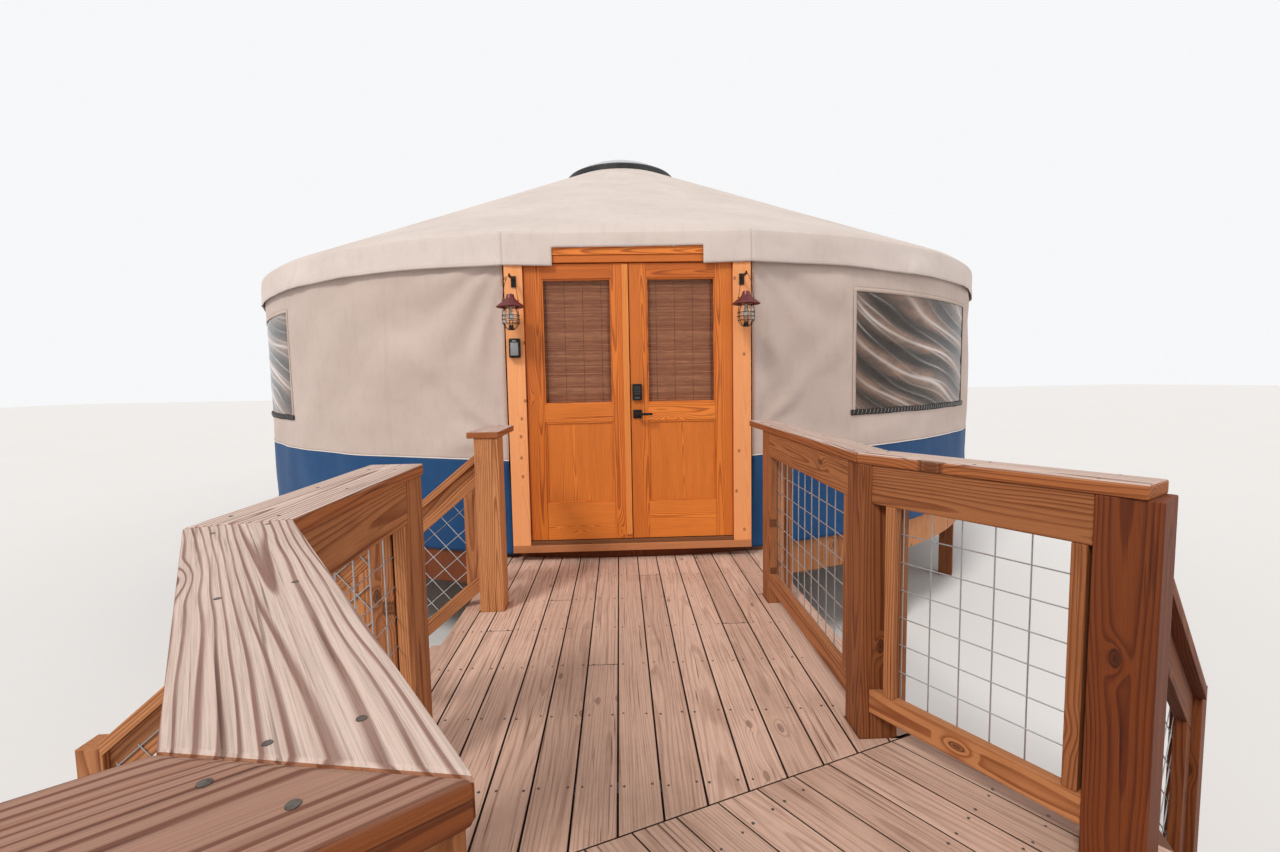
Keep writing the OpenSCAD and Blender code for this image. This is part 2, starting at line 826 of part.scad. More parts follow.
module deck_framing() {
    out_x = half_deck - rim_over;
    in_x = out_x - frame_w - 2 * seat;
    mitre_w = mitre_gap + frame_w / cos(mitre);
    cross_n = floor((ledger_y + bend_y - mitre_w) / frame_pitch);
    short_y = ledger_y - (cross_n + 1) * frame_pitch;
    short_x = half_deck + (short_y + bend_y - mitre_w) / tan(mitre) - 5;
    color("sienna")
        difference() {
            union() {
                frame_rect(-in_x, ledger_y, in_x, ledger_y + frame_w);
                for (i = [1 : cross_n])
                    frame_rect(-in_x, ledger_y - i * frame_pitch, in_x, ledger_y - i * frame_pitch + frame_w);
                frame_rect(-in_x, short_y, short_x, short_y + frame_w);
                for (x = [-out_x, out_x - frame_w])
                    frame_edge(x, x + frame_w, ledger_y, [mitre_y(x) + mitre_gap, mitre_y(x + frame_w) + mitre_gap]);
                translate([0, 0, frame_z])
                    linear_extrude(frame_h - seat)
                        polygon([
                            [-in_x, mitre_y(-in_x) + mitre_gap], [in_x, mitre_y(in_x) + mitre_gap],
                            [in_x, mitre_y(in_x) + mitre_w], [-in_x, mitre_y(-in_x) + mitre_w]
                        ]);
                bent_frame() bent_framing();
            }
            post_room(2 * seat, frame_z - 5, frame_h + 10);
        }
}

module bent_framing() {
    right_x = -rim_over - frame_w;
    left_x = landing_left + rim_over;
    far_y = landing_far + rim_over;
    near_y = landing_near - rim_over;
    edge_x = bent_rim_over - bent_w;
    in_right = right_x - 2 * seat;
    in_left = left_x + frame_w + 2 * seat;
    in_far = far_y + frame_w + seat;
    rows = floor((near_y - 2 * frame_w - 20 - in_far) / frame_pitch);
    frame_rect(left_x, far_y, -rim_over, far_y + frame_w);
    frame_edge(right_x, -rim_over, in_far,
        [bent_mitre_y(right_x) - mitre_gap, bent_mitre_y(-rim_over) - mitre_gap]);
    frame_rect(left_x, in_far, left_x + frame_w, near_y);
    frame_rect(in_left, near_y - frame_w, edge_x + frame_w, near_y);
    frame_edge(edge_x, edge_x + frame_w, near_y + seat,
        [bent_mitre_y(edge_x) - mitre_gap, bent_mitre_y(edge_x + frame_w) - mitre_gap]);
    for (i = [1 : rows])
        frame_rect(in_left, in_far + i * frame_pitch, in_right, in_far + i * frame_pitch + frame_w);
    for (y = [near_y + 127, near_y + 127 + frame_pitch])
        frame_rect(edge_x + frame_w + 2 * seat, y, min(in_right, -(y + frame_w) / tan(bent_mitre) - 5), y + frame_w);
}

// The left edge of a straight board, counted from the left
function board_x(i) = -half_deck + min(i, 2) * edge_pitch + max(i - 2, 0) * board_pitch;

module deck_boards() {
    color("rosybrown")
        difference() {
            translate([0, 0, deck_z - board_t])
                linear_extrude(board_t)
                    for (i = [0 : board_count + 1]) {
                        x0 = board_x(i) + board_gap / 2;
                        x1 = board_x(i + 1) - board_gap / 2;
                        polygon([
                            [x0, house_y(x0)], [x0, mitre_y(x0) + mitre_gap],
                            [x1, mitre_y(x1) + mitre_gap], [x1, house_y(x1)]
                        ]);
                    }
            post_room(3, deck_z - board_t - 5, board_t + 10);
        }
}

module bent_boards() {
    color("rosybrown")
        difference() {
            bent_frame()
                translate([0, 0, deck_z - board_t])
                    linear_extrude(board_t)
                        for (i = [0 : bent_boards_n + landing_boards_n - 1]) {
                            x1 = -i * board_pitch - board_gap / 2;
                            x0 = x1 - board_pitch + board_gap;
                            past = i >= bent_boards_n;
                            polygon([
                                [x0, landing_far], [x1, landing_far],
                                [x1, past ? landing_near : bent_mitre_y(x1) - mitre_gap],
                                [x0, past ? landing_near : bent_mitre_y(x0) - mitre_gap]
                            ]);
                        }
            post_room(3, deck_z - board_t - 5, board_t + 10);
        }
}

// Rail between two posts. Each bay is the two posts, and the side of the line that is inside.

bays = [
    [post_2, post_1, 1],
    [post_2, bent_point(bent_3), -1],
    [post_b, post_c, 1],
    [post_c, bent_point(bent_d), 1],
    [bent_point(bent_d), bent_point(bent_e), 1],
    [bent_point(bent_e), bent_point(bent_f), 1],
    [bent_point(bent_f), bent_point(bent_g), 1],
    [bent_point(bent_g), bent_point(bent_4), 1]
];
rail_in = post_w / 2 - rail_t / 2 - 1;
low_z = deck_z + 100;
upper_z = post_top - rail_top_h;

// Puts its children along a bay's line: +x from the first post to the second, +y inside
module along_bay(bay) {
    d = bay[1] - bay[0];
    translate([bay[0][0], bay[0][1], 0])
        rotate([0, 0, atan2(d[1], d[0])])
            mirror([0, bay[2] > 0 ? 0 : 1, 0])
                children();
}

function bay_length(bay) = norm(bay[1] - bay[0]);

module rail_boards() {
    color("sienna")
        difference() {
            for (bay = bays)
                along_bay(bay) {
                    l = bay_length(bay);
                    translate([0, rail_in - rail_t / 2, upper_z]) cube([l, rail_t, rail_top_h]);
                    translate([0, rail_in - rail_t / 2, low_z]) cube([l, rail_t, rail_low_h]);
                }
            post_room(seat, deck_z, rail_h);
        }
}

strip_w = 38;
// Half a post's room along a bay's line, also where the post is turned against it
bay_end = post_w / 2 * (cos(bend) + sin(bend)) + seat + 3;
wire_y = rail_in - rail_t / 2 - wire_d - seat;

module rail_strips() {
    strip_z = low_z + rail_low_h + seat;
    color("peru")
        for (bay = bays)
            along_bay(bay)
                for (x = [bay_end, bay_length(bay) - bay_end - strip_w]) {
                    translate([x, rail_in - rail_t / 2, strip_z])
                        cube([strip_w, rail_t, upper_z - seat - strip_z]);
                    translate([x, wire_y - seat - strip_w, low_z])
                        cube([strip_w, strip_w, post_top - low_z]);
                }
}

// A flat grid of wires in the xy plane, centred on its middle
module wire_grid(l, h) {
    nx = floor(l / wire_pitch);
    ny = floor(h / wire_pitch);
    for (i = [0 : nx])
        translate([(i - nx / 2) * wire_pitch - wire_d / 2, -h / 2]) square([wire_d, h]);
    for (j = [0 : ny])
        translate([-l / 2, (j - ny / 2) * wire_pitch - wire_d / 2]) square([l, wire_d]);
}

module bay_wires(some_bays) {
    wire_z0 = low_z + rail_low_h / 2;
    wire_h = upper_z + 40 - wire_z0;
    color("silver")
        for (bay = some_bays)
            along_bay(bay) {
                l = bay_length(bay) - 2 * bay_end;
                translate([bay_end + l / 2, wire_y + wire_d, wire_z0 + wire_h / 2])
                    rotate([90, 0, 0])
                        linear_extrude(wire_d) wire_grid(l, wire_h);
            }
}

module wire_panels() bay_wires([for (i = [0 : 3]) bays[i]]);
module landing_wires() bay_wires([for (i = [4 : len(bays) - 1]) bays[i]]);

// Caps run over the posts and are mitred where the rail turns. Their inner edge stands just proud of the posts.
cap_over = 78;
right_cap_over = 46;
cap_in = post_w / 2 + 6;
cap_back = [0, cap_reach - cap_over];
right_caps = [post_1 + cap_back, post_2, bent_point(bent_3)];
left_caps = [
    post_b, post_c, bent_point(bent_d), bent_point(bent_e), bent_point(bent_f), bent_point(bent_g), bent_point(bent_4)
];

function turn_of(v) = v / norm(v);
function side_of(v) = [-v[1], v[0]];

// The cap's corner beside point i of a path, at the reach sideways, cut square past the path's ends
function cap_corner(path, i, reach, past) =
    let (
        last = len(path) - 1,
        before = turn_of(path[max(i, 1)] - path[max(i, 1) - 1]),
        after = turn_of(path[min(i, last - 1) + 1] - path[min(i, last - 1)]),
        across = turn_of(side_of(before) + side_of(after)),
        over = i == 0 ? -cap_over : i == last ? past : 0
    )
    path[i] + reach / (across * side_of(before)) * across + over * before;

// A run of caps along a path that has the deck on the given side: 1 is its left, -1 its right
module cap_run(path, deck_side, w, past) {
    inner = deck_side * cap_in;
    outer = -deck_side * (w - cap_in);
    for (i = [0 : len(path) - 2]) {
        d = turn_of(path[i + 1] - path[i]);
        head = (i == 0 ? 0 : 1) * d;
        tail = (i == len(path) - 2 ? 0 : 1) * d;
        translate([0, 0, cap_z])
            linear_extrude(rail_t)
                polygon([
                    cap_corner(path, i, inner, past) + head, cap_corner(path, i, outer, past) + head,
                    cap_corner(path, i + 1, outer, past) - tail, cap_corner(path, i + 1, inner, past) - tail
                ]);
    }
}

module rail_caps() {
    color("rosybrown") {
        cap_run(right_caps, -1, right_cap_w, right_cap_over);
        cap_run(left_caps, 1, cap_w, cap_over);
        cap_run([post_a + cap_back, post_a], 1, cap_w, cap_over);
    }
}

// Stairs. A flight's own frame: the rim's outer face is on x = 0, and the steps go down towards +x.

riser = deck_z / risers;
tread_t = 38;
run = (risers - 1) * going;
slope = riser / going;
stringer_w = 38;
rail_y = stair_w / 2 + post_w / 2 + 20;
newel_w = 89;
newel_x = run - 10;

module left_flight() translate([rim_over - half_deck, (post_a[1] + post_b[1]) / 2, 0]) mirror([1, 0, 0]) children();
module right_flight() bent_frame() translate([-rim_over, (bent_3[1] + bent_4[1]) / 2, 0]) children();

module flight_stringers() {
    teeth = [for (i = [1 : risers - 1], x = [i - 1, i]) [x * going + (x == 0 ? seat : 0), deck_z - i * riser - tread_t - seat]];
    for (y = [-stair_w / 2 + 10, -stringer_w / 2, stair_w / 2 - stringer_w - 10])
        translate([0, y + stringer_w, 0])
            rotate([90, 0, 0])
                linear_extrude(stringer_w)
                    polygon(concat(teeth, [[run, 0], [run - 150, 0], [seat, deck_z - riser - tread_t - 230]]));
}

module flight_treads() {
    tread_gap = 5;
    w = (going + 20 - tread_gap) / 2;
    for (i = [1 : risers - 1], k = [0, 1])
        translate([(i - 1) * going + seat + 2 + k * (w + tread_gap), -stair_w / 2 + 2, deck_z - i * riser - tread_t])
            cube([w - (k == 0 ? 2 : 0), stair_w - 4, tread_t]);
}

// A sloping timber from the deck's post to the newel, with plumb ends
module sloping(z, h, y, w, x0 = -frame_w - 2 * seat, x1 = newel_x - newel_w / 2 - seat) {
    translate([0, y + w / 2, 0])
        rotate([90, 0, 0])
            linear_extrude(w)
                polygon([
                    [x0, z - x0 * slope], [x1, z - x1 * slope],
                    [x1, z - h - x1 * slope], [x0, z - h - x0 * slope]
                ]);
}

hand_z = deck_z + 850;
foot_z = deck_z + 175;
hand_h = 140;
hand_cap_w = 110;
end_strip_w = 89;

module flight_rails() {
    newel_top = hand_z - newel_x * slope + 60;
    strip_z = hand_z - hand_h - 2 * seat;
    strip_h = strip_z - foot_z - 2 * seat;
    for (side = [-1, 1]) {
        y = side * rail_y;
        translate([newel_x - newel_w / 2, y - newel_w / 2, 0]) cube([newel_w, newel_w, newel_top]);
        sloping(hand_z, hand_h, y, rail_t);
        sloping(hand_z + rail_t / cos(atan(slope)) + seat, rail_t / cos(atan(slope)), y, hand_cap_w);
        sloping(foot_z, 100, y, rail_t);
        sloping(strip_z, strip_h, y, rail_t, x1 = end_strip_w - frame_w);
        sloping(strip_z, strip_h, y, rail_t, x0 = newel_x - newel_w / 2 - end_strip_w);
    }
}

module flight_wires() {
    x0 = 5 - frame_w;
    x1 = newel_x - newel_w / 2 - 5;
    for (side = [-1, 1])
        translate([0, side * (rail_y + rail_t / 2 + seat) + (side > 0 ? wire_d : 0), 0])
            rotate([90, 0, 0])
                linear_extrude(wire_d)
                    intersection() {
                        translate([(x0 + x1) / 2, (hand_z + foot_z) / 2 - (x0 + x1) / 2 * slope - 60])
                            rotate(-atan(slope)) wire_grid(1500, 1100);
                        polygon([
                            [x0, hand_z - 60 - x0 * slope], [x1, hand_z - 60 - x1 * slope],
                            [x1, foot_z - 60 - x1 * slope], [x0, foot_z - 60 - x0 * slope]
                        ]);
                    }
}

module stair_stringers() color("sienna") { left_flight() flight_stringers(); right_flight() flight_stringers(); }
module stair_treads() color("rosybrown") { left_flight() flight_treads(); right_flight() flight_treads(); }
module stair_rails() color("sienna") { left_flight() flight_rails(); right_flight() flight_rails(); }
module stair_wires() color("silver") { left_flight() flight_wires(); right_flight() flight_wires(); }

platform_posts();
platform_beams();
floor_joists();
platform_fascia();
floor();
lattice_front_right();
lattice_back_right();
lattice_back_left();
lattice_front_left();
tension_cable();
rafters();
compression_ring();
skylight_rim();
skylight_dome();
roof_cover();
valance();
door_valance();
wall_cover();
skirt_band();
window_panes();
window_screens();
window_bindings();
door_posts();
door_header();
door_sill();
door_threshold();
left_leaf();
left_glass();
left_blind();
meeting_batten();
right_leaf();
right_glass();
right_blind();
door_locks();
post_hinges();
left_hinges();
right_hinges();
door_lever();
lantern_brackets();
lantern_bails();
lantern_caps();
lantern_globes();
lantern_cages();
key_box();
deck_posts();
deck_framing();
deck_boards();
bent_boards();
rail_caps();
rail_boards();
rail_strips();
wire_panels();
landing_wires();
stair_stringers();
stair_treads();
stair_rails();
stair_wires();
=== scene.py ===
"""The looks of the yurt and its entry deck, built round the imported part. Metres, +Z up, the door faces -Y."""
import math
import random

import bmesh
import bpy
import numpy as np
from mathutils import Matrix, Vector


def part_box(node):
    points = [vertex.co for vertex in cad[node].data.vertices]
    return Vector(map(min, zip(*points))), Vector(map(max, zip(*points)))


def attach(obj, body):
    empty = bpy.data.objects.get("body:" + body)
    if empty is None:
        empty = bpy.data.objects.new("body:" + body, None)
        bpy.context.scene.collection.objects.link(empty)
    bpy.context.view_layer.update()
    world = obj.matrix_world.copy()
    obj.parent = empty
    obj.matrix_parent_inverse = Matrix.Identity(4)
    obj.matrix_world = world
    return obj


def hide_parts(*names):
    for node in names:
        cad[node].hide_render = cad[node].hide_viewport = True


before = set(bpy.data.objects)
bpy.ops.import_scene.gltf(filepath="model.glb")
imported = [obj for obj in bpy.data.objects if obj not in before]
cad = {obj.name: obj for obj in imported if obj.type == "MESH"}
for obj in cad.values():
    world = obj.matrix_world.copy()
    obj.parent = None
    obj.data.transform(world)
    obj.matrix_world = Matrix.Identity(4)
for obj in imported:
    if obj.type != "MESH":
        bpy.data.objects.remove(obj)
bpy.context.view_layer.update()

scene = bpy.context.scene
ROUND = 2 * math.pi


# ---------------------------------------------------------------- camera, light and floor

EYE = (-0.081, -8.825, 2.311)
YAW, PITCH, ROLL = (math.radians(a) for a in (2.00, 4.59, -1.04))
FOCAL_PX, WIDTH_PX, SENSOR = 571.0, 1280.0, 36.0


def linked(name, data):
    """A new object in the scene."""
    made = bpy.data.objects.new(name, data)
    scene.collection.objects.link(made)
    return made


def place_camera():
    ahead = Vector((math.sin(YAW) * math.cos(PITCH), math.cos(YAW) * math.cos(PITCH), -math.sin(PITCH)))
    level = Vector((math.cos(YAW), -math.sin(YAW), 0.0))
    upright = level.cross(ahead)
    right = level * math.cos(ROLL) + upright * math.sin(ROLL)
    up = upright * math.cos(ROLL) - level * math.sin(ROLL)
    lens = bpy.data.cameras.new("camera")
    lens.sensor_width = SENSOR
    lens.lens = FOCAL_PX / WIDTH_PX * SENSOR
    lens.clip_start, lens.clip_end = 0.05, 300.0
    scene.camera = linked("camera", lens)
    scene.camera.matrix_world = Matrix.Translation(EYE) @ Matrix((right, up, -ahead)).transposed().to_4x4()


def light_studio():
    """A pale world that is brighter to look at than it shines, a soft sun and a weaker one."""
    scene.view_settings.view_transform = "Standard"
    scene.world = bpy.data.worlds.new("studio")
    scene.world.use_nodes = True
    tree = scene.world.node_tree
    tree.nodes.clear()
    new, link = tree.nodes.new, tree.links.new
    out, mix, path = (new("ShaderNode" + kind) for kind in ("OutputWorld", "MixShader", "LightPath"))
    looked_at = path.outputs["Is Camera Ray"]
    for ray in ("Is Glossy Ray", "Is Transmission Ray"):
        either = new("ShaderNodeMath")
        either.operation = "MAXIMUM"
        link(looked_at, either.inputs[0])
        link(path.outputs[ray], either.inputs[1])
        looked_at = either.outputs[0]
    link(looked_at, mix.inputs[0])
    for k, colour, strength in ((1, (1.0, 0.98, 0.965, 1), 0.60), (2, (0.93, 0.935, 0.945, 1), 1.0)):
        sky = new("ShaderNodeBackground")
        sky.inputs["Color"].default_value = colour
        sky.inputs["Strength"].default_value = strength
        link(sky.outputs[0], mix.inputs[k])
    link(mix.outputs[0], out.inputs[0])
    for name, towards, strength, soft in (
        ("key", (0.62, 0.80, -1.05), 1.75, 14.0), ("fill", (-0.9, 0.55, -0.55), 0.35, 50.0),
    ):
        lamp = bpy.data.lights.new(name, "SUN")
        lamp.energy, lamp.angle, lamp.color = strength, math.radians(soft), (1.0, 0.965, 0.92)
        linked(name, lamp).rotation_euler = Vector(towards).to_track_quat("-Z", "Y").to_euler()


# ---------------------------------------------------------------- node helpers for finishes

FINISHES = {}


def linear(colour):
    """The linear colour of a six-digit screen colour. Linear ones stay."""
    if not isinstance(colour, str):
        return colour
    parts = [int(colour[i:i + 2], 16) / 255 for i in (0, 2, 4)]
    return tuple(c / 12.92 if c <= 0.04045 else ((c + 0.055) / 1.055) ** 2.4 for c in parts)


def shaded(colour, share):
    return tuple(c * share for c in linear(colour))


class Value:
    """What a node gives. Sums with it add the nodes that work them out."""

    def __init__(self, finish, socket):
        self.finish, self.socket = finish, socket

    def also(self, name):
        """Another output of the same node."""
        return Value(self.finish, self.socket.node.outputs[name])

    def calc(self, what, other=0.0):
        return self.finish.add("ShaderNodeMath", {0: self, 1: other}, operation=what)

    def __add__(self, other):
        return self.calc("ADD", other)

    def __sub__(self, other):
        return self.calc("SUBTRACT", other)

    def __mul__(self, other):
        return self.calc("MULTIPLY", other)

    def __truediv__(self, other):
        return self.calc("DIVIDE", other)

    def __abs__(self):
        return self.calc("ABSOLUTE")

    def from_middle(self):
        """How far it is from the middle of the whole step that it is in."""
        return abs(self.calc("FRACT") - 0.5)

    def between(self, low, high, to_low=0.0, to_high=1.0):
        """Its place between low and high, carried over to two other ends."""
        ends = {"Value": self, "From Min": low, "From Max": high, "To Min": to_low, "To Max": to_high}
        return self.finish.add("ShaderNodeMapRange", ends)

    def line(self, middle, width):
        """One where it is at the middle, fading to nothing within the width."""
        return abs(self - middle).between(0.0, width, 1.0, 0.0)


class Finish:
    """A material with a Principled shader for one slot, and short ways to add nodes to it."""

    def __init__(self, name, slot=None, **sockets):
        self.material = bpy.data.materials.new(name)
        FINISHES[name] = self.material, slot
        self.material.use_nodes = True
        self.tree = self.material.node_tree
        self.tree.nodes.clear()
        out = self.tree.nodes.new("ShaderNodeOutputMaterial")
        self.shader = self.tree.nodes.new("ShaderNodeBsdfPrincipled")
        self.tree.links.new(self.shader.outputs[0], out.inputs[0])
        self.give(**sockets)

    def give(self, **sockets):
        for key, value in sockets.items():
            self.put(self.shader.inputs[key.replace("_", " ")], value)

    def put(self, socket, value):
        if isinstance(value, Value):
            self.tree.links.new(value.socket, socket)
        else:
            socket.default_value = (*linear(value), 1.0) if socket.type == "RGBA" else value

    def add(self, kind, inputs=None, out=0, **settings):
        node = self.tree.nodes.new(kind)
        for key, value in settings.items():
            setattr(node, key, value)
        for key, value in (inputs or {}).items():
            self.put(node.inputs[key], value)
        return Value(self, node.outputs[out])

    def place(self):
        return self.add("ShaderNodeTexCoord", out="Object")

    def cloth_map(self):
        return self.add("ShaderNodeUVMap", uv_map="cloth")

    def kept(self, name, out="Fac"):
        return self.add("ShaderNodeAttribute", out=out, attribute_name=name)

    def upward(self):
        return self.split(self.add("ShaderNodeNewGeometry", out="Normal"))[2]

    def scaled(self, at, scale, shift=(0, 0, 0), turn=(0, 0, 0)):
        return self.add("ShaderNodeMapping", {"Vector": at, "Scale": scale, "Location": shift, "Rotation": turn})

    def split(self, at):
        x = self.add("ShaderNodeSeparateXYZ", {0: at})
        return x, x.also("Y"), x.also("Z")

    def joined(self, x, y, z):
        return self.add("ShaderNodeCombineXYZ", {0: x, 1: y, 2: z})

    def noise(self, at, scale, detail=3.0, rough=0.55, **moved):
        """Cloudy noise, stretched where the scale is three numbers."""
        if isinstance(scale, tuple):
            at, scale = self.scaled(at, scale, **moved), 1.0
        return self.add("ShaderNodeTexNoise", {"Vector": at, "Scale": scale, "Detail": detail, "Roughness": rough})

    def pick(self, number):
        """A chance value for each whole number."""
        return self.add("ShaderNodeTexWhiteNoise", {"W": number}, "Value", noise_dimensions="1D")

    def ramp(self, value, stops):
        """Greys at stops along the value."""
        ramped = self.add("ShaderNodeValToRGB", {0: value})
        bar = ramped.socket.node.color_ramp.elements
        while len(bar) < len(stops):
            bar.new(0.5)
        for element, (at, grey) in zip(bar, stops):
            element.position, element.color = at, (grey, grey, grey, 1)
        return ramped

    def mix(self, share, a, b, how="MIX"):
        return self.add("ShaderNodeMix", {0: share, 6: a, 7: b}, 2, data_type="RGBA", blend_type=how)

    def dim(self, share, colour, by):
        return self.mix(share, colour, by, "MULTIPLY")

    def bump(self, height, strength, distance):
        self.give(Normal=self.add("ShaderNodeBump", {"Height": height, "Strength": strength, "Distance": distance}))


# ---------------------------------------------------------------- finishes

RINGS = ((0.0, 0.1), (0.45, 0.2), (0.80, 1.0), (0.93, 0.9), (1.0, 0.1))
WORN_RINGS = ((0.0, 0.05), (0.55, 0.12), (0.74, 0.95), (0.90, 1.0), (1.0, 0.05))
SWAY = 0.05
KNOT_R, KNOT_REACH = 0.075, 0.34
BLIND_PITCH, BLIND_TIES = 0.0085, 0.135
FLOOR_BOARD = 0.14
GUSSET_BOW, GUSSET_Y = 0.4, 3.965
STITCH = 0.007


def timber_finish(
    name, slot, early, late, ring=0.006, late_share=0.8, rough=0.62, knot=None, knot_every=(1.4, 6.0), knot_share=0.32,
    fibre=0.25, deep=(0.6, 0.5, 0.42), dirt=0.0, weathered=None, coat=0.0, cracks=0.0, edge=0.0,
):
    """Wood with growth rings round each timber's own pith, fibres and knots. Weathered wood is grey where it faces up,
    and faces that turn away from up can be darkened with painted shade, as in the gaps between boards."""
    f = Finish(name, slot, Coat_Weight=coat, Coat_Roughness=0.25, Specular_IOR_Level=0.35)
    grain, shade = f.kept("grain", "Vector"), f.kept("tone")
    _, y, z = f.split(grain)
    y = y + (f.noise(grain, (1.1, 7.0, 7.0), 2.0) - 0.5) * SWAY
    z = z + (f.noise(grain, (0.7, 5.0, 5.0), 2.0, shift=(7.3, 2.1, 4.4)) - 0.5) * SWAY
    cells = {"Vector": f.scaled(grain, (*knot_every, 0.0)), "Scale": 1.0, "Randomness": 0.9}
    knots = f.add("ShaderNodeTexVoronoi", cells, "Distance", voronoi_dimensions="2D")
    inner = f.add("ShaderNodeTexVoronoi", cells, "Distance", voronoi_dimensions="2D", feature="DISTANCE_TO_EDGE")
    rare = f.split(knots.also("Color"))[0].calc("GREATER_THAN", 1 - knot_share) * inner.between(0.0, 0.12)
    near = knots.between(0.0, KNOT_REACH, 1.0, 0.0)
    away = (y * y + z * z).calc("SQRT") + near * near * rare * 0.028
    uneven = f.noise(f.joined(away * 60.0, shade, 0.0), 1.0, 1.0)
    rings = f.ramp((away / ring + uneven * 0.8).calc("FRACT"), WORN_RINGS if weathered else RINGS)
    fibres = f.noise(grain, (5.0, 420.0, 420.0), 3.0, 0.7)
    blotch = f.noise(grain, (2.2, 16.0, 16.0), 4.0, 0.6)
    share = rings * blotch.between(0.25, 0.75, 0.45 * late_share, late_share)
    colour = f.mix(share, early, late)
    colour = f.mix(fibres.between(0.35, 0.8, 0.0, fibre), colour, shaded(late, 0.55))
    if knot:
        heart = knots.between(0.05, KNOT_R, 0.65, 0.0)
        core = heart.calc("MAXIMUM", knots.line(KNOT_R, 0.03) * 0.8) * rare
        colour = f.mix(core, colour, knot)
    colour = f.dim(shade, colour, deep)
    if weathered:
        pale, streak = weathered
        lie = f.upward() + (blotch - 0.5) * 0.25
        up = lie.between(0.22, 0.55) * shade.between(0.85, 1.0, 1.0, 0.12)
        old = f.mix(share.between(0.10, 0.80), pale, streak)
        old = f.mix(fibres.between(0.45, 0.85, 0.0, 0.55), old, shaded(streak, 0.6))
        old = f.mix(blotch.between(0.45, 0.8, 0.0, 0.4), old, shaded(pale, 0.78))
        old = f.dim(shade.between(0.0, 0.85, 0.0, 0.6), old, (0.62, 0.56, 0.52))
        streaks = f.noise(grain, (0.9, 75.0, 75.0), 3.0, 0.6, shift=(2.0, 6.0, 1.0))
        old = f.dim(streaks.between(0.50, 0.72, 0.0, 0.5), old, (0.66, 0.54, 0.46))
        old = f.dim(streaks.between(0.50, 0.28, 0.0, 0.35), old, (1.18, 1.14, 1.12))
        if knot:
            old = f.mix(core * 0.8, old, knot)
        colour = f.mix(up, colour, old)
    if dirt:
        grime = f.noise(f.place(), 2.3, 5.0, 0.65)
        colour = f.dim(grime.between(0.5, 0.75, 0.0, dirt), colour, (0.5, 0.42, 0.36))
    height = rings * 0.45 + fibres
    if cracks:
        split = f.noise(grain, (1.6, 120.0, 120.0), 2.0, 0.5, shift=(3.0, 1.0, 7.0)).between(0.63, 0.70)
        split = split * blotch.between(0.35, 0.6, 0.3, 1.0)
        colour = f.dim(split * cracks, colour, (0.30, 0.22, 0.18))
        height = height - split * 1.5
    # painted shade: faces that turn away from up, the board sides and their rounded edges, are darkened almost to
    # black, as in the gaps between boards
    if edge:
        colour = f.mix(f.upward().between(0.95, 0.45, 0.0, edge), colour, (0.035, 0.02, 0.014))
    f.give(Base_Color=colour, Roughness=fibres * 0.22 + (rough - 0.11))
    f.bump(height, 0.6 if weathered else 0.3, 0.0014)


def woven_finish(name, slot, colour, deep, rough=0.75, stain=0.2, seams=(), thread=0.0016, gusset=False):
    """Coated canvas: a fine weave on the sheet's own UV map, soft stains, and welted seams across it. A seam is
    given by its axis, how often it comes, its width and its shift; the gusset is the roof's seam over the eave."""
    f = Finish(name, slot, Specular_IOR_Level=0.25)
    uv = f.cloth_map()
    u, v, _ = f.split(uv)
    weave = (u * (ROUND / thread)).calc("SINE") * (v * (ROUND / thread)).calc("SINE")
    wide = f.noise(uv, (0.9, 1.6, 1.0), 5.0, 0.6)
    fine = f.noise(uv, (14.0, 5.0, 1.0), 4.0, 0.65)
    base = f.mix(wide.between(0.35, 0.75, 0.0, stain), colour, deep)
    base = f.mix(fine.between(0.5, 0.8, 0.0, stain * 0.6), base, deep)
    base = f.mix(weave.between(-1.0, 1.0, 0.0, 0.08), base, deep)
    height = fine * 0.8 + weave * 0.12
    for axis, every, width, shift in seams:
        across, along = ((u, v), (v, u))[axis]
        off = ((across + shift) / every).from_middle() * every
        dash = (along / STITCH).calc("FRACT").calc("GREATER_THAN", 0.35)
        base = f.mix(off.line(width / 2, 0.003) * 0.35, base, deep)
        base = f.mix(off.line(width / 2 - 0.005, 0.0012) * dash * 0.5, base, deep)
        height = height + off.between(width / 2 - 0.0015, width / 2, 1.0, 0.0) * 0.8
    if gusset:
        x, y, _ = f.split(f.place())
        bow = x - 0.1
        off = y - (bow * bow * GUSSET_BOW - GUSSET_Y)
        here = abs(x).between(1.25, 1.35, 1.0, 0.0) * y.calc("LESS_THAN", -3.0)
        base = f.mix(off.line(0.0, 0.007) * here * 0.4, base, deep)
        height = height + abs(off - 0.016).between(0.014, 0.016, 1.0, 0.0) * here * 0.9
    f.give(Base_Color=base, Roughness=wide * 0.2 + (rough - 0.1))
    f.bump(height, 0.35, 0.0015)


def metal_finish(name, slot, colour, worn, rough=0.4, metal=0.9, wear=0.3, scale=60.0):
    """Painted or bare metal with scuffs, dust and fine pitting."""
    f = Finish(name, slot, Metallic=metal)
    at = f.place()
    cloud, speck = f.noise(at, scale, 5.0, 0.65), f.noise(at, scale * 7, 3.0, 0.7)
    f.give(Base_Color=f.mix(cloud.between(0.5, 0.72, 0.0, wear), colour, worn), Roughness=cloud * 0.35 + (rough - 0.15))
    f.bump(speck + cloud * 0.5, 0.15, 0.0006)


def glass_finish(name, slot, tint, rough=0.02, smear=0.05, ior=1.45, through=1.0):
    """Clear glass with faint smears and dust."""
    f = Finish(name, slot, Transmission_Weight=through, IOR=ior)
    at = f.place()
    wipe = f.noise(at, (3.0, 3.0, 14.0), 4.0, 0.6)
    dusty = f.mix(wipe.between(0.4, 0.8, 0.0, 0.25), tint, shaded(tint, 0.85))
    f.give(Base_Color=dusty, Roughness=wipe.between(0.45, 0.8, rough, rough + smear))
    f.bump(f.noise(at, 1.6, 2.0), 0.04, 0.01)


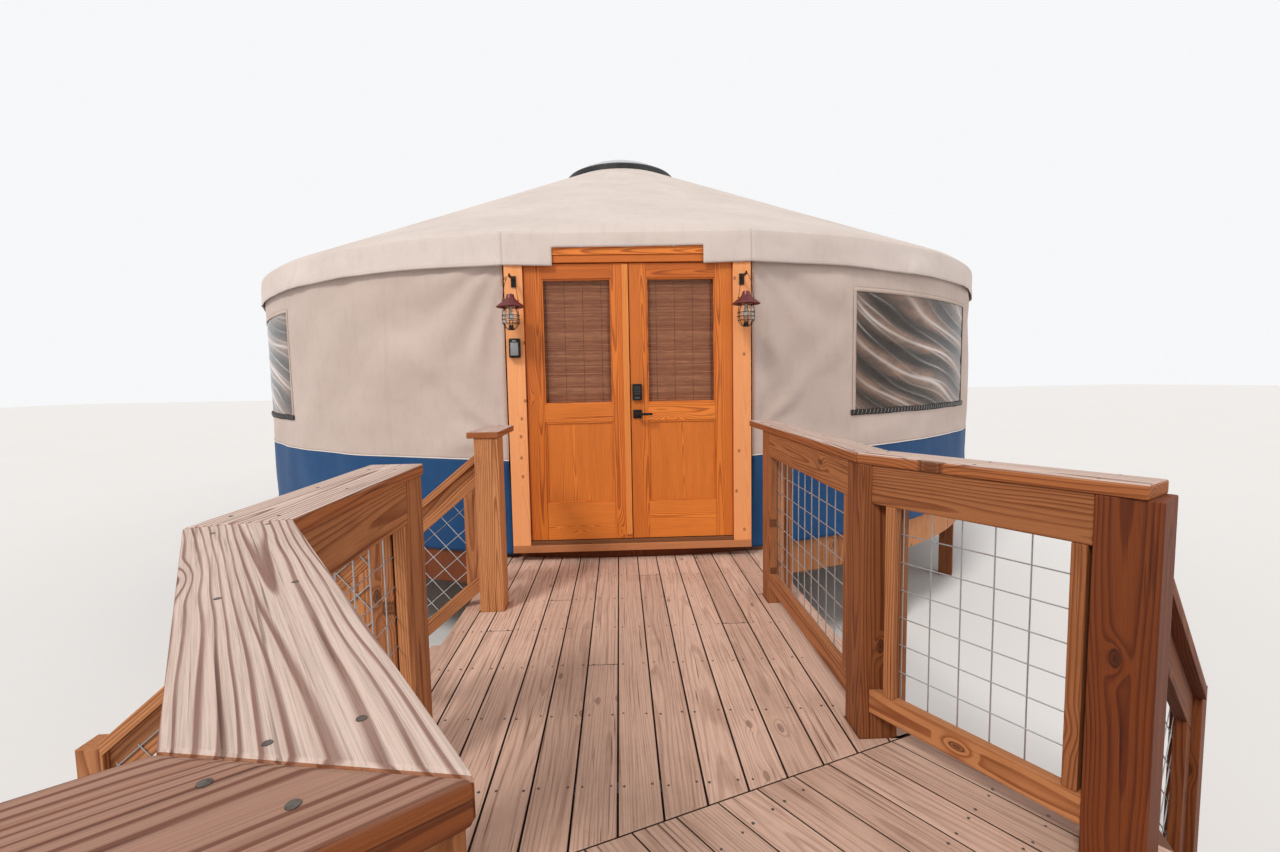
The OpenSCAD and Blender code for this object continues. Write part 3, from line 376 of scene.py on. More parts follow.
def vinyl_finish(name, slot):
    """Clear window vinyl. Thin pale lines of painted highlight run along its wrinkle crests, its broad swells carry
    painted light and shade, and it is dark and glossy between them.
    """
    f = Finish(name, slot, IOR=1.45)
    shine, swell = f.kept("shine"), f.kept("swell")
    haze = f.noise(f.cloth_map(), (3.0, 7.0, 1.0), 4.0, 0.65, turn=(0, 0, 0.6))
    # painted light and shade: the colour is lighter where the broad wrinkles swell out and darker in their troughs
    shade = f.mix(swell.between(0.25, 0.95), "33271F", "A98672")
    shade = f.mix(haze.between(0.4, 0.65, 0.0, 0.7), shade, "46372E")
    veil = swell * 0.2 + haze.between(0.3, 0.7, 0.62, 0.78)
    # painted highlight: along the wrinkle crests the colour turns near white and the sheet opaque
    f.give(Base_Color=f.mix(shine, shade, "F4EEEA"), Alpha=veil.calc("MAXIMUM", shine))
    f.give(Roughness=haze.between(0.2, 0.8, 0.06, 0.22))
    f.bump(haze, 0.2, 0.004)


def screen_finish(name, slot):
    """Dark insect screen, dusty in places."""
    f = Finish(name, slot, Roughness=0.85, Alpha=0.9)
    dust = f.noise(f.cloth_map(), (3.0, 3.0, 1.0), 5.0)
    f.give(Base_Color=f.mix(dust.between(0.4, 0.8, 0.0, 0.5), "2A2625", "4D4642"))


def blind_finish(name, slot):
    """Bamboo sticks of mixed browns, tied with darker threads, with painted shade in the grooves between the sticks."""
    f = Finish(name, slot, Roughness=0.6)
    u, v, _ = f.split(f.cloth_map())
    stick = v / BLIND_PITCH
    row = stick.calc("FLOOR")
    streak = f.noise(f.joined(u * 9.0, row * 3.7, 0.0), 1.0, 4.0, 0.7)
    colour = f.mix(f.pick(row), "A9643E", "D08C5E")
    colour = f.mix(streak.between(0.4, 0.7, 0.0, 0.6), colour, "6B3420")
    tied = (u / BLIND_TIES).from_middle() * BLIND_TIES
    colour = f.mix(tied.between(0.0012, 0.0024, 0.8, 0.0), colour, "3A1E12")
    # painted shade: each stick darkens towards its edges, in the grooves where it meets the next
    f.give(Base_Color=f.mix(stick.from_middle().between(0.28, 0.5, 0.0, 0.9), colour, "2C1509"))
    f.bump(streak, 0.3, 0.0008)


def plank_finish(name, slot):
    """Floor boards, laid across the room."""
    f = Finish(name, slot)
    x, y, _ = f.split(f.place())
    board = y / FLOOR_BOARD
    pick = f.pick(board.calc("FLOOR"))
    run = f.joined(pick * 19.0 + x, y, pick)
    fibres = f.noise(run, (3.0, 90.0, 1.0), 4.0, 0.65)
    rings = f.noise(run, (0.8, 14.0, 1.0), 3.0, 0.5)
    colour = f.mix(rings.between(0.4, 0.65), "B98A5A", "8A5A33")
    colour = f.mix(fibres.between(0.4, 0.75, 0.0, 0.4), colour, "5E3A20")
    colour = f.mix(pick * 0.3, colour, "6B4528")
    crack = board.from_middle().between(0.486, 0.494)
    f.give(Base_Color=f.mix(crack, colour, (0.02, 0.012, 0.008)), Roughness=fibres * 0.25 + 0.35)
    f.bump(fibres * 0.3 - crack * 2.0, 0.4, 0.0015)


def make_finishes():
    """All finishes: name, slot and colours first, then what differs from the usual."""
    woven = woven_finish
    woven("roof_canvas_white", "roof_fabric", "DCD0C9", "AE9E96", 0.62, 0.35, gusset=True)
    hems = ((1, 0.4, 0.02, 0.422), (1, 0.4, 0.014, 0.187))
    woven("valance_canvas", "valance_fabric", "E2D5CE", "AB9A91", 0.68, 0.3, hems)
    joins = ((0, 1.55, 0.024, 0.4),)
    woven("wall_canvas_tan", "wall_fabric", "CFBDB4", "A38D83", 0.7, 0.35, joins)
    woven("band_canvas_blue", "band_fabric", "184A7A", "0C2A50", 0.6, 0.4, joins)
    woven("trim_canvas", "wall_fabric", "CDB9AE", "98847A", 0.7, 0.3)
    woven("dark_webbing", "black_metal", "3E3734", "1A1614", 0.85, 0.6, thread=0.0042)
    woven("piping_white", "valance_fabric", "ECE6E0", "B8ADA4", 0.6, 0.3)

    timber_finish(
        "door_fir", "door_timber", "FF963C", "983C08", 0.0062, 0.9, 0.5, fibre=0.3, deep=(0.72, 0.60, 0.48), coat=0.12
    )
    timber_finish(
        "post_pine", "door_post_timber", "FFB278", "F0924C", 0.007, 0.55, 0.55, "7A3B1C", (7.0, 9.0),
        fibre=0.12, deep=(0.92, 0.86, 0.80), coat=0.08,
    )
    timber_finish(
        "strip_fir", "door_post_timber", "F29A4E", "CC6E26", 0.006, 0.5, 0.5,
        fibre=0.15, deep=(0.82, 0.74, 0.66), coat=0.1,
    )
    timber_finish(
        "sill_fir", "door_post_timber", "EBA878", "BC7A50", 0.007, 0.6, 0.6, fibre=0.3, deep=(0.7, 0.6, 0.5), dirt=0.4
    )
    timber_finish(
        "rail_timber", "post_timber", "DE9B66", "8A4519", 0.0085, 1.0, 0.68, "3E1D0D", (3.4, 7.5), 0.16,
        fibre=0.4, deep=(0.31, 0.17, 0.08), dirt=0.4, cracks=0.7,
    )
    timber_finish(
        "weathered_caps", "weathered_boards", "B9713F", "7A3E1E", 0.0105, 1.0, 0.75, "4A2A1C", (2.2, 6.0), 0.2,
        fibre=0.35, deep=(0.62, 0.52, 0.44), weathered=("E0CABE", "85594C"), cracks=0.8,
    )
    # the last setting paints shade on the board sides, as in the gaps between the boards
    timber_finish(
        "weathered_boards", "weathered_boards", "A5744F", "6E4530", 0.010, 0.5, 0.8, "5E3D2F", (3.4, 8.5), 0.1,
        fibre=0.35, deep=(0.8, 0.75, 0.7), dirt=0.4, weathered=("E2C0AD", "9A7463"), cracks=0.9, edge=0.9,
    )
    timber_finish(
        "framing_timber", "framing_timber", "9C6A44", "6A4228", 0.008, rough=0.8, knot="3E2213", dirt=0.4
    )
    inside = dict(rough=0.6, deep=(0.8, 0.72, 0.65))
    timber_finish("lattice_fir", "lattice_timber", "D9A878", "B37B4A", 0.004, **inside)
    timber_finish("rafter_fir", "rafter_timber", "DDAA76", "B57C49", 0.005, knot="6E3F22", **inside)

    metal_finish("black_iron", "black_metal", (0.012, 0.011, 0.011), (0.06, 0.05, 0.045), 0.45, 0.6, 0.5)
    metal_finish("red_enamel", "lantern_red", "6E2A2C", "2E1A18", 0.35, 0.3, 0.7, 40)
    metal_finish("galvanised_wire", "galvanised_wire", "B9BDC0", "8C9092", 0.42, 0.85, 0.6, 90)
    metal_finish("grey_face", "key_box", "8E9294", "5E6264", 0.5, 0.3, 0.4)
    metal_finish("key_rubber", "black_metal", "3C3F42", "55595C", 0.6, 0.0, 0.3)
    metal_finish("nail_steel", "galvanised_wire", "6B625C", "3A2C26", 0.5, 0.7, 0.8, 200)
    metal_finish("skylight_rim_black", None, (0.015, 0.015, 0.016), (0.08, 0.075, 0.07), 0.4, 0.2, 0.4, 12)
    metal_finish("steel_cable", None, "8A8E90", "5A5E60", 0.4, 1.0, 0.5, 150)
    metal_finish("hinge_steel", None, "4A4C4E", "2A2A2A", 0.4, 0.9, 0.5)
    glass_finish("door_glass", None, (0.98, 0.97, 0.96), 0.005, 0.02, 1.18)
    glass_finish("lantern_glass", "lantern_glass", (0.97, 0.98, 0.98))
    glass_finish("skylight_acrylic", None, (0.9, 0.93, 0.95), 0.08)
    glass_finish("bulb_frost", "lantern_glass", (0.95, 0.93, 0.88), 0.5, through=0.4)
    vinyl_finish("window_vinyl", "clear_vinyl")
    screen_finish("insect_screen", "insect_screen")
    blind_finish("bamboo_sticks", "bamboo_blind")
    plank_finish("floor_planks", None)


# ---------------------------------------------------------------- mesh helpers

def settle(name, mesh, finish, body="yurt", replaced=(), slot=None):
    """Links a finished mesh as a piece of the object, with the material of its finish, and hides the nodes it replaces.
    """
    piece = linked(name, mesh)
    material, usual = FINISHES[finish]
    mesh.materials.clear()
    mesh.materials.append(material)
    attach(piece, body)
    slot or usual
    if replaced:
        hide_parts(*replaced)
    return piece


def meshed(name, bm):
    mesh = bpy.data.meshes.new(name)
    bm.to_mesh(mesh)
    bm.free()
    return mesh


def made_piece(name, bm, finish, body="yurt", replaced=(), slot=None, smooth=True):
    bmesh.ops.recalc_face_normals(bm, faces=bm.faces)
    mesh = meshed(name, bm)
    if smooth:
        mesh.shade_smooth()
        mesh.set_sharp_from_angle(angle=math.radians(40))
    return settle(name, mesh, finish, body, replaced, slot)


def cad_copy(node):
    """A CAD node's faces, welded and without the seams between flat ones."""
    bm = bmesh.new()
    bm.from_mesh(cad[node].data)
    bmesh.ops.remove_doubles(bm, verts=bm.verts, dist=1e-5)
    bmesh.ops.dissolve_limit(bm, angle_limit=math.radians(0.4), verts=bm.verts, edges=bm.edges)
    return bm


def islands(bm):
    """The separate solids of a bmesh, as lists of vertices."""
    bm.verts.ensure_lookup_table()
    seen, found = set(), []
    for start in bm.verts:
        if start.index in seen:
            continue
        seen.add(start.index)
        stack, group = [start], []
        while stack:
            v = stack.pop()
            group.append(v)
            for e in v.link_edges:
                w = e.other_vert(v)
                if w.index not in seen:
                    seen.add(w.index)
                    stack.append(w)
        found.append(group)
    return found


def lay_grain(bm, seed, pith=(0.02, 0.11), tilt=0.02, tones=(0.0, 1.0), chosen=()):
    """Gives each timber its own grain: x along it, y across and z through it from its pith, and a tone of its own.
    Timbers near a chosen spot get its tone."""
    rng = random.Random(seed)
    grain = bm.verts.layers.float_vector.new("grain")
    tone = bm.verts.layers.float.new("tone")
    bm.verts.index_update()
    for group in islands(bm):
        edges = {e for v in group for e in v.link_edges}
        longest = max(edges, key=lambda e: e.calc_length())
        along = (longest.verts[1].co - longest.verts[0].co).normalized()
        faces = {p for v in group for p in v.link_faces}
        flat = [p for p in faces if abs(p.normal.dot(along)) < 0.2] or list(faces)
        through = max(flat, key=lambda p: p.calc_area()).normal.copy()
        through = (through - along * through.dot(along)).normalized()
        across = through.cross(along)
        middle = sum((v.co for v in group), Vector()) / len(group)
        side = rng.choice((-1, 1))
        shift = (rng.uniform(0, 40), rng.uniform(-0.05, 0.05), side * rng.uniform(*pith))
        lean = (rng.uniform(-tilt, tilt), rng.uniform(-tilt, tilt))
        shade = rng.uniform(*tones)
        for spot, reach, value in chosen:
            if (middle - Vector(spot)).length < reach:
                shade = value
        for v in group:
            d = v.co - middle
            x = d.dot(along)
            v[grain] = (x + shift[0], d.dot(across) + lean[0] * x + shift[1], d.dot(through) + lean[1] * x + shift[2])
            v[tone] = shade


def eased(bm, width, segments=2):
    """Rounds off the sharp edges of every solid."""
    sharp = [e for e in bm.edges if len(e.link_faces) == 2 and e.calc_face_angle(0) > math.radians(25)]
    bmesh.ops.bevel(bm, geom=sharp, offset=width, segments=segments, profile=0.6, affect="EDGES", clamp_overlap=True)


def timbers(name, node, finish, ease, seed, body="yurt", change=None, slot=None, **grain):
    """Eased copies of CAD timbers, with grain along each of them."""
    bm = cad_copy(node)
    if change:
        change(bm)
    if ease:
        eased(bm, ease)
    lay_grain(bm, seed, **grain)
    settle(name, meshed(name, bm), finish, body, [node], slot)


def shell_copy(name, node, finish, body, ease):
    """A copy of a hard CAD piece with its edges rounded."""
    bm = cad_copy(node)
    eased(bm, ease, 3)
    made_piece(name, bm, finish, body, [node])


def add_bar(bm, low, high):
    """A plain bar between two corners, as a solid of its own."""
    size = [h - l for l, h in zip(low, high)]
    for v in bmesh.ops.create_cube(bm, size=1.0)["verts"]:
        v.co = Vector([l + (c + 0.5) * s for l, c, s in zip(low, v.co, size)])


def add_tube(bm, path, radius, sides=8, closed=False):
    """A round wire along a path, with closed ends."""
    path = [Vector(p) for p in path]
    count = len(path)
    rings = []
    lean = None
    for i, p in enumerate(path):
        before = path[i - 1] if i or closed else p
        after = path[(i + 1) % count] if i < count - 1 or closed else p
        ahead = (after - before).normalized()
        lean = ahead.orthogonal().normalized() if lean is None else lean
        lean = (lean - ahead * lean.dot(ahead)).normalized()
        other = ahead.cross(lean)
        turns = [ROUND * k / sides for k in range(sides)]
        rings.append([bm.verts.new(p + radius * (math.cos(a) * lean + math.sin(a) * other)) for a in turns])
    for one, two in zip(rings, rings[1:] + rings[:1] if closed else rings[1:]):
        for k in range(sides):
            bm.faces.new((one[k], one[(k + 1) % sides], two[(k + 1) % sides], two[k]))
    if not closed:
        bm.faces.new(rings[0][::-1])
        bm.faces.new(rings[-1])


def add_lathe(bm, profile, centre, steps=64):
    """A closed profile of (radius, height) points turned round a vertical line."""
    rings = [
        [bm.verts.new(centre + Vector((r * math.cos(a), r * math.sin(a), z))) for r, z in profile]
        for a in (ROUND * k / steps for k in range(steps))
    ]
    for one, two in zip(rings, rings[1:] + rings[:1]):
        for i in range(len(profile)):
            j = (i + 1) % len(profile)
            bm.faces.new((one[i], two[i], two[j], one[j]))
    bmesh.ops.remove_doubles(bm, verts=bm.verts, dist=1e-6)


def soft_noise(u, v, seed):
    """Smooth noise from -1 to 1, one lump to each unit of u and v."""
    table = np.random.default_rng(seed).uniform(-1, 1, (64, 64))
    iu, iv = np.floor(u).astype(int), np.floor(v).astype(int)
    fu, fv = u - iu, v - iv
    fu, fv = fu * fu * (3 - 2 * fu), fv * fv * (3 - 2 * fv)
    low = table[iu % 64, iv % 64] * (1 - fu) + table[(iu + 1) % 64, iv % 64] * fu
    high = table[iu % 64, (iv + 1) % 64] * (1 - fu) + table[(iu + 1) % 64, (iv + 1) % 64] * fu
    return low * (1 - fv) + high * fv


def soft_line(u, seed):
    """The same noise along one line."""
    return soft_noise(u, u * 0, seed)


def ease_in(x):
    x = np.clip(x, 0, 1)
    return x * x * (3 - 2 * x)


def cloth(name, points, uv, finish, thick=0.002, keep=None, body="yurt", replaced=(), kept=None):
    """A sheet from a grid of points, given a thickness behind its face. keep leaves cells out, kept adds values."""
    normal = np.cross(np.gradient(points, axis=1), np.gradient(points, axis=0))
    normal /= np.maximum(np.linalg.norm(normal, axis=2, keepdims=True), 1e-12)
    back = points - normal * thick
    n = points.shape[0] * points.shape[1]
    index = np.arange(n).reshape(points.shape[:2])
    quads = np.stack([index[:-1, :-1], index[:-1, 1:], index[1:, 1:], index[1:, :-1]], axis=-1).reshape(-1, 4)
    if keep is not None:
        quads = quads[keep.reshape(-1)]
    edges = np.concatenate([quads[:, [0, 1]], quads[:, [1, 2]], quads[:, [2, 3]], quads[:, [3, 0]]])
    rim = edges[~np.isin(edges[:, 0] * n + edges[:, 1], edges[:, 1] * n + edges[:, 0])]
    sides = np.stack([rim[:, 1], rim[:, 0], rim[:, 0] + n, rim[:, 1] + n], axis=1)
    faces = np.concatenate([quads, quads[:, ::-1] + n, sides])
    verts = np.concatenate([points.reshape(-1, 3), back.reshape(-1, 3)])
    used = np.unique(faces)
    renumber = np.full(len(verts), -1)
    renumber[used] = np.arange(len(used))
    faces, verts = renumber[faces], verts[used]
    mesh = bpy.data.meshes.new(name)
    mesh.vertices.add(len(verts))
    mesh.vertices.foreach_set("co", verts.astype(np.float32).ravel())
    mesh.loops.add(faces.size)
    mesh.loops.foreach_set("vertex_index", faces.astype(np.int32).ravel())
    mesh.polygons.add(len(faces))
    mesh.polygons.foreach_set("loop_start", np.arange(0, faces.size, 4, dtype=np.int32))
    mesh.polygons.foreach_set("use_smooth", np.arange(len(faces)) < len(faces) - len(sides))
    mesh.update(calc_edges=True)
    flat = np.concatenate([uv.reshape(-1, 2)] * 2)[used]
    layer = mesh.uv_layers.new(name="cloth")
    layer.data.foreach_set("uv", flat[faces.ravel()].astype(np.float32).ravel())
    for key, values in (kept or {}).items():
        attribute = mesh.attributes.new(key, "FLOAT", "POINT")
        attribute.data.foreach_set("value", np.concatenate([values.ravel()] * 2)[used].astype(np.float32))
    mesh.validate()
    return settle(name, mesh, finish, body, replaced)


def round_wall(az, z, radius):
    """Points on the round wall: az in radians from the door towards +X."""
    return np.stack([radius * np.sin(az), -radius * np.cos(az), z], axis=-1)


def wall_cloth(name, az, z, off, finish, drop=0.0, **more):
    """A sheet that stands off the wall's circle."""
    points = round_wall(az, z + drop, WALL_R + off)
    return cloth(name, points, np.stack([az * WALL_R, z], -1), finish, **more)


def stops(*marks, step):
    """Evenly spaced values that pass through every mark."""
    made = [marks[0]]
    for a, b in zip(marks, marks[1:]):
        made += list(np.linspace(a, b, max(2, int(round((b - a) / step)) + 1))[1:])
    return np.array(made)


def middles(values):
    return (values[:-1] + values[1:]) / 2


def signed(az):
    """Directions from the door, from -180 to 180 degrees, in radians."""
    return (az + math.pi) % ROUND - math.pi


# ---------------------------------------------------------------- sizes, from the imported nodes

WALL_R, EAVE_R, RING_R = 4.572, 4.602, 0.740
SLOPE = math.radians(24.7)
COVER_Z1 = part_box("wall_cover")[1].z
BAND_Z0, BAND_Z1 = (corner.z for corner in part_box("skirt_band"))
WIN_Z0, WIN_Z1 = (corner.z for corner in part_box("window_panes"))
EAVE_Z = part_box("valance")[1].z
DECK_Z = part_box("deck_boards")[1].z
CAP_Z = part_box("rail_caps")[0].z + 0.019
POST_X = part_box("door_posts")[1].x
DOOR_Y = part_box("door_header")[0].y
FLAP_X, FLAP_Y = POST_X + 0.004, DOOR_Y - 0.006
DOOR_AZ = math.asin(FLAP_X / WALL_R)
DOOR_EDGE = DOOR_AZ * WALL_R
WINDOWS = dict(right=36.8, back_right=143.2, back_left=237.0, left=303.0)
WINDOWS = {name: math.radians(angle) for name, angle in WINDOWS.items()}
HALF_WIN = math.radians(13.0)
VALANCE_TALL, VALANCE_DOWN = 0.269, 0.235
LIFTED_X, LIFTED_FROM = 0.546, 0.118
PINS = (-0.33, 0.0, 0.33)


# ---------------------------------------------------------------- the covers

def taut(az, radius, x_corner, y_corner):
    """The distance from the middle to cloth that is drawn from its circle to the corners of the door frame."""
    s = np.abs(signed(az))
    corner = math.atan2(x_corner, -y_corner)
    leaves = corner + math.acos(min(1.0, radius / math.hypot(x_corner, y_corner)))
    line = radius / np.cos(np.clip(leaves - s, -1.2, 1.2))
    return np.where(s >= leaves, radius, np.where(s >= corner, line, -y_corner / np.cos(s)))


def fan(u, z, at_z, seed, count, reach):
    """Creases that run out of a point of the door's edge where the cloth is held, and fade with distance."""
    dx, dz = np.abs(u) - DOOR_EDGE, z - at_z
    away = np.hypot(dx, dz)
    turn = np.arctan2(dz, np.abs(dx) + 0.05)
    wave = np.sin(count * turn + 2.2 * soft_noise(turn * 2.0 + 5, away * 1.5, seed))
    return wave * np.exp(-away / reach) * ease_in(away / 0.35)


def wall_folds(az, z):
    """How far the wall's cloth stands off its circle."""
    u = signed(az) * WALL_R
    off = np.abs(u) - DOOR_EDGE
    folds = 0.006 * soft_noise(u * 1.3, z * 0.8, 3) + 0.0025 * soft_noise(u * 4.0, z * 2.0, 4)
    folds += 0.022 * fan(u, z, 3.25, 11, 15.0, 1.5) + 0.017 * fan(u, z, 1.80, 12, 12.0, 1.2)
    slant = np.abs(u) * 1.05 + z * 0.9 * np.where(u < 0, 1, -1)
    folds += 0.0095 * np.sin(5.2 * slant + 1.9 * soft_noise(u * 0.9, z * 0.9, 5)) * ease_in(off / 0.5)
    folds += 0.0045 * np.sin(15.0 * u + 1.8 * soft_noise(u * 2, z, 6)) * ease_in((z - 2.75) / 0.6)
    folds += 0.0045 * np.sin(10.0 * u + 2.2 * soft_noise(u * 1.5, z * 0.7, 7)) * ease_in((2.35 - z) / 0.6)
    folds -= 0.0060 * np.exp(-(((z - 2.165 - 0.012 * soft_line(u * 0.6, 8)) / 0.010) ** 2))
    for middle in WINDOWS.values():
        d = np.abs(signed(az - middle)) - HALF_WIN
        tall = ease_in((0.68 - np.abs(z - (WIN_Z0 + WIN_Z1) / 2)) / 0.14)
        folds *= 1 - 0.92 * ease_in(1.25 - np.maximum(d, 0) * WALL_R / 0.16) * tall
    folds = np.maximum(0.005 + folds - 0.004 * ease_in((z - 3.15) / 0.1), -0.0045)
    folds = folds * (1 - 0.6 * ease_in((z - 3.05) / 0.15))
    return folds * ease_in(off / 0.02 + 0.3) + (taut(az, WALL_R, FLAP_X, DOOR_Y + 0.052) - WALL_R)


def wall_sheet():
    marks = [w + side * HALF_WIN for w in WINDOWS.values() for side in (-1, 1)]
    az = stops(DOOR_AZ, *marks, ROUND - DOOR_AZ, step=math.radians(0.42))
    z = stops(BAND_Z1 - 0.012, WIN_Z0, WIN_Z1, COVER_Z1, step=0.034)
    a, h = np.meshgrid(az, z)
    tall = (middles(z) > WIN_Z0) & (middles(z) < WIN_Z1)
    keep = np.ones((len(z) - 1, len(az) - 1), bool)
    for w in WINDOWS.values():
        keep &= ~((np.abs(signed(middles(az) - w)) < HALF_WIN)[None, :] & tall[:, None])
    piece = wall_cloth("wall_canvas", a, h, wall_folds(a, h), "wall_canvas_tan", keep=keep, replaced=["wall_cover"])


def band_sheet():
    az = stops(DOOR_AZ, ROUND - DOOR_AZ, step=math.radians(0.42))
    z = stops(BAND_Z0, BAND_Z1, step=0.026)
    a, h = np.meshgrid(az, z)
    u = signed(a) * WALL_R
    low = ease_in((BAND_Z1 - h) / 0.5)
    folds = wall_folds(a, np.full_like(h, BAND_Z1)) * (1 - 0.5 * low) + 0.0035
    folds += low * 0.006 * np.sin(7.0 * u + 3.0 * soft_noise(u * 1.1, h * 1.2, 21))
    folds += low * 0.004 * soft_noise(u * 3.4, h * 2.4, 22)
    folds += 0.0045 * fan(u, h, BAND_Z1 - 0.1, 23, 9.0, 0.9)
    hem = ease_in((BAND_Z0 + 0.10 - h) / 0.10)
    folds += hem * (0.004 + 0.012 * soft_line(u * 2.1, 24))
    drop = hem * 0.010 * soft_line(u * 1.7, 25)
    piece = wall_cloth("blue_band", a, h, folds, "band_canvas_blue", drop, replaced=["skirt_band"])
    bm = bmesh.new()
    add_tube(bm, round_wall(az, h[-1] + 0.001, WALL_R + folds[-1] + 0.0015), 0.0048, sides=6)
    made_piece("band_piping", bm, "piping_white")


def eave(az):
    """The roof's edge: its distance from the middle and its height. It is drawn out and down over the door frame."""
    over = 1 - ease_in((np.abs(signed(az)) - 0.10) / 0.32)
    edge_z = EAVE_Z - 0.012 - 0.046 * over + 0.004 * np.sin(9 * signed(az) + 0.6) * over
    return taut(az, EAVE_R, FLAP_X, FLAP_Y), edge_z


def roof_height(r):
    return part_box("roof_cover")[0].z + (EAVE_R - r) * math.tan(SLOPE) + 0.0085 / math.cos(SLOPE)


def roof_sheet():
    az = stops(-math.pi, -0.42, 0.42, math.pi, step=math.radians(0.5))
    out = np.concatenate([np.linspace(0, 0.955, 50), np.linspace(0.965, 1, 9)])
    a, t = np.meshgrid(az, out)
    edge_r, edge_z = eave(a)
    rad = RING_R + (edge_r - RING_R) * t
    dip = (roof_height(edge_r) - edge_z) * ease_in((rad - 4.546) / (edge_r - 4.546))
    sag = -0.0045 * (1 + np.cos(48 * a)) * np.sin(math.pi * t) ** 0.7
    sag += 0.0030 * soft_noise(a * 9, rad * 1.2, 31) * np.sin(math.pi * t)
    points = round_wall(a, roof_height(rad) - dip + sag, rad)
    points[:, -1] = points[:, 0]
    uv = np.stack([a * 4.6, (EAVE_R - rad) / math.cos(SLOPE)], -1)
    piece = cloth("roof_canvas", points[::-1], uv[::-1], "roof_canvas_white", thick=0.0025, replaced=["roof_cover"])
    bm = bmesh.new()
    bm.from_mesh(piece.data)
    bmesh.ops.remove_doubles(bm, verts=bm.verts, dist=1e-5)
    bm.to_mesh(piece.data)
    bm.free()


def valance_grid(az):
    """The valance from its seam on the roof, over the eave and down to its hem, and the share of its height."""
    rows = np.concatenate([[-0.034, -0.022, -0.010, -0.003], np.linspace(0.006, VALANCE_DOWN, 15)])
    a, down = np.meshgrid(az, rows)
    edge_r, edge_z = eave(az)
    u = signed(a) * EAVE_R
    hang = ease_in(down / 0.2)
    wave = 0.007 * np.sin(5.3 * u + 2.5 * soft_line(u * 0.9, 41)) + 0.006 * soft_noise(u * 2.4, down * 6, 42)
    wave += 0.0025 * np.sin(22 * u + 2.4 * soft_noise(u * 3, down * 8, 43))
    wave *= np.where(np.abs(u) < 1.0, 0.5, 1.25)
    inward = np.clip(-down, 0, 1)
    radius = edge_r + 0.003 + hang * (np.maximum(wave, -0.003) + 0.002) - inward / math.cos(SLOPE) * 0.92
    radius -= 0.004 * (down > 0) * np.exp(-down / 0.01)
    height = edge_z + 0.0035 + inward * math.sin(SLOPE) - np.clip(down, 0, 1)
    height += hang * 0.007 * soft_line(u * 1.3, 44)
    return round_wall(a, height, radius)[::-1], np.stack([a * EAVE_R, -down], -1)[::-1], down


def valance_sheet():
    start = math.atan2(FLAP_X, -FLAP_Y)
    points, uv, _ = valance_grid(stops(start, ROUND - start, step=math.radians(0.45)))
    piece = cloth("valance_skirt", points, uv, "valance_canvas", thick=0.0018, replaced=["valance"])


def door_valance_sheet():
    """Over the door the valance lies on the frame: two ends hang full, and between them it is lifted on the header,
    where snaps hold it."""
    start, flap = math.atan2(FLAP_X, -FLAP_Y), math.atan2(LIFTED_X, -FLAP_Y)
    az = stops(-start, -flap, flap, start, step=math.radians(0.22))
    points, uv, down = valance_grid(az)
    x = points[:, :, 0]
    pinned = sum(np.exp(-(((x - b) / 0.045) ** 2)) for b in PINS)
    points[:, :, 1] -= 0.004 * (1 - pinned) * (np.abs(x) < 0.53) * ease_in(down[::-1] / 0.1)
    low = down[1:, 0] > LIFTED_FROM
    keep = ~((np.abs(middles(az)) < flap)[None, :] & low[::-1, None])
    piece = cloth("door_flaps", points, uv, "valance_canvas", thick=0.0018, keep=keep, replaced=["door_valance"])
    gone = 2 * LIFTED_X * (VALANCE_DOWN - down[:-1, 0][low].min())
    flat = 2 * FLAP_X, VALANCE_TALL
    flat[0] * flat[1] - gone
    bm = bmesh.new()
    z = EAVE_Z - 0.157
    for b in PINS:
        add_tube(bm, [(b, FLAP_Y - 0.0155, z), (b, FLAP_Y - 0.002, z)], 0.0055, 12)
    made_piece("flap_snaps", bm, "galvanised_wire", slot="black_metal")


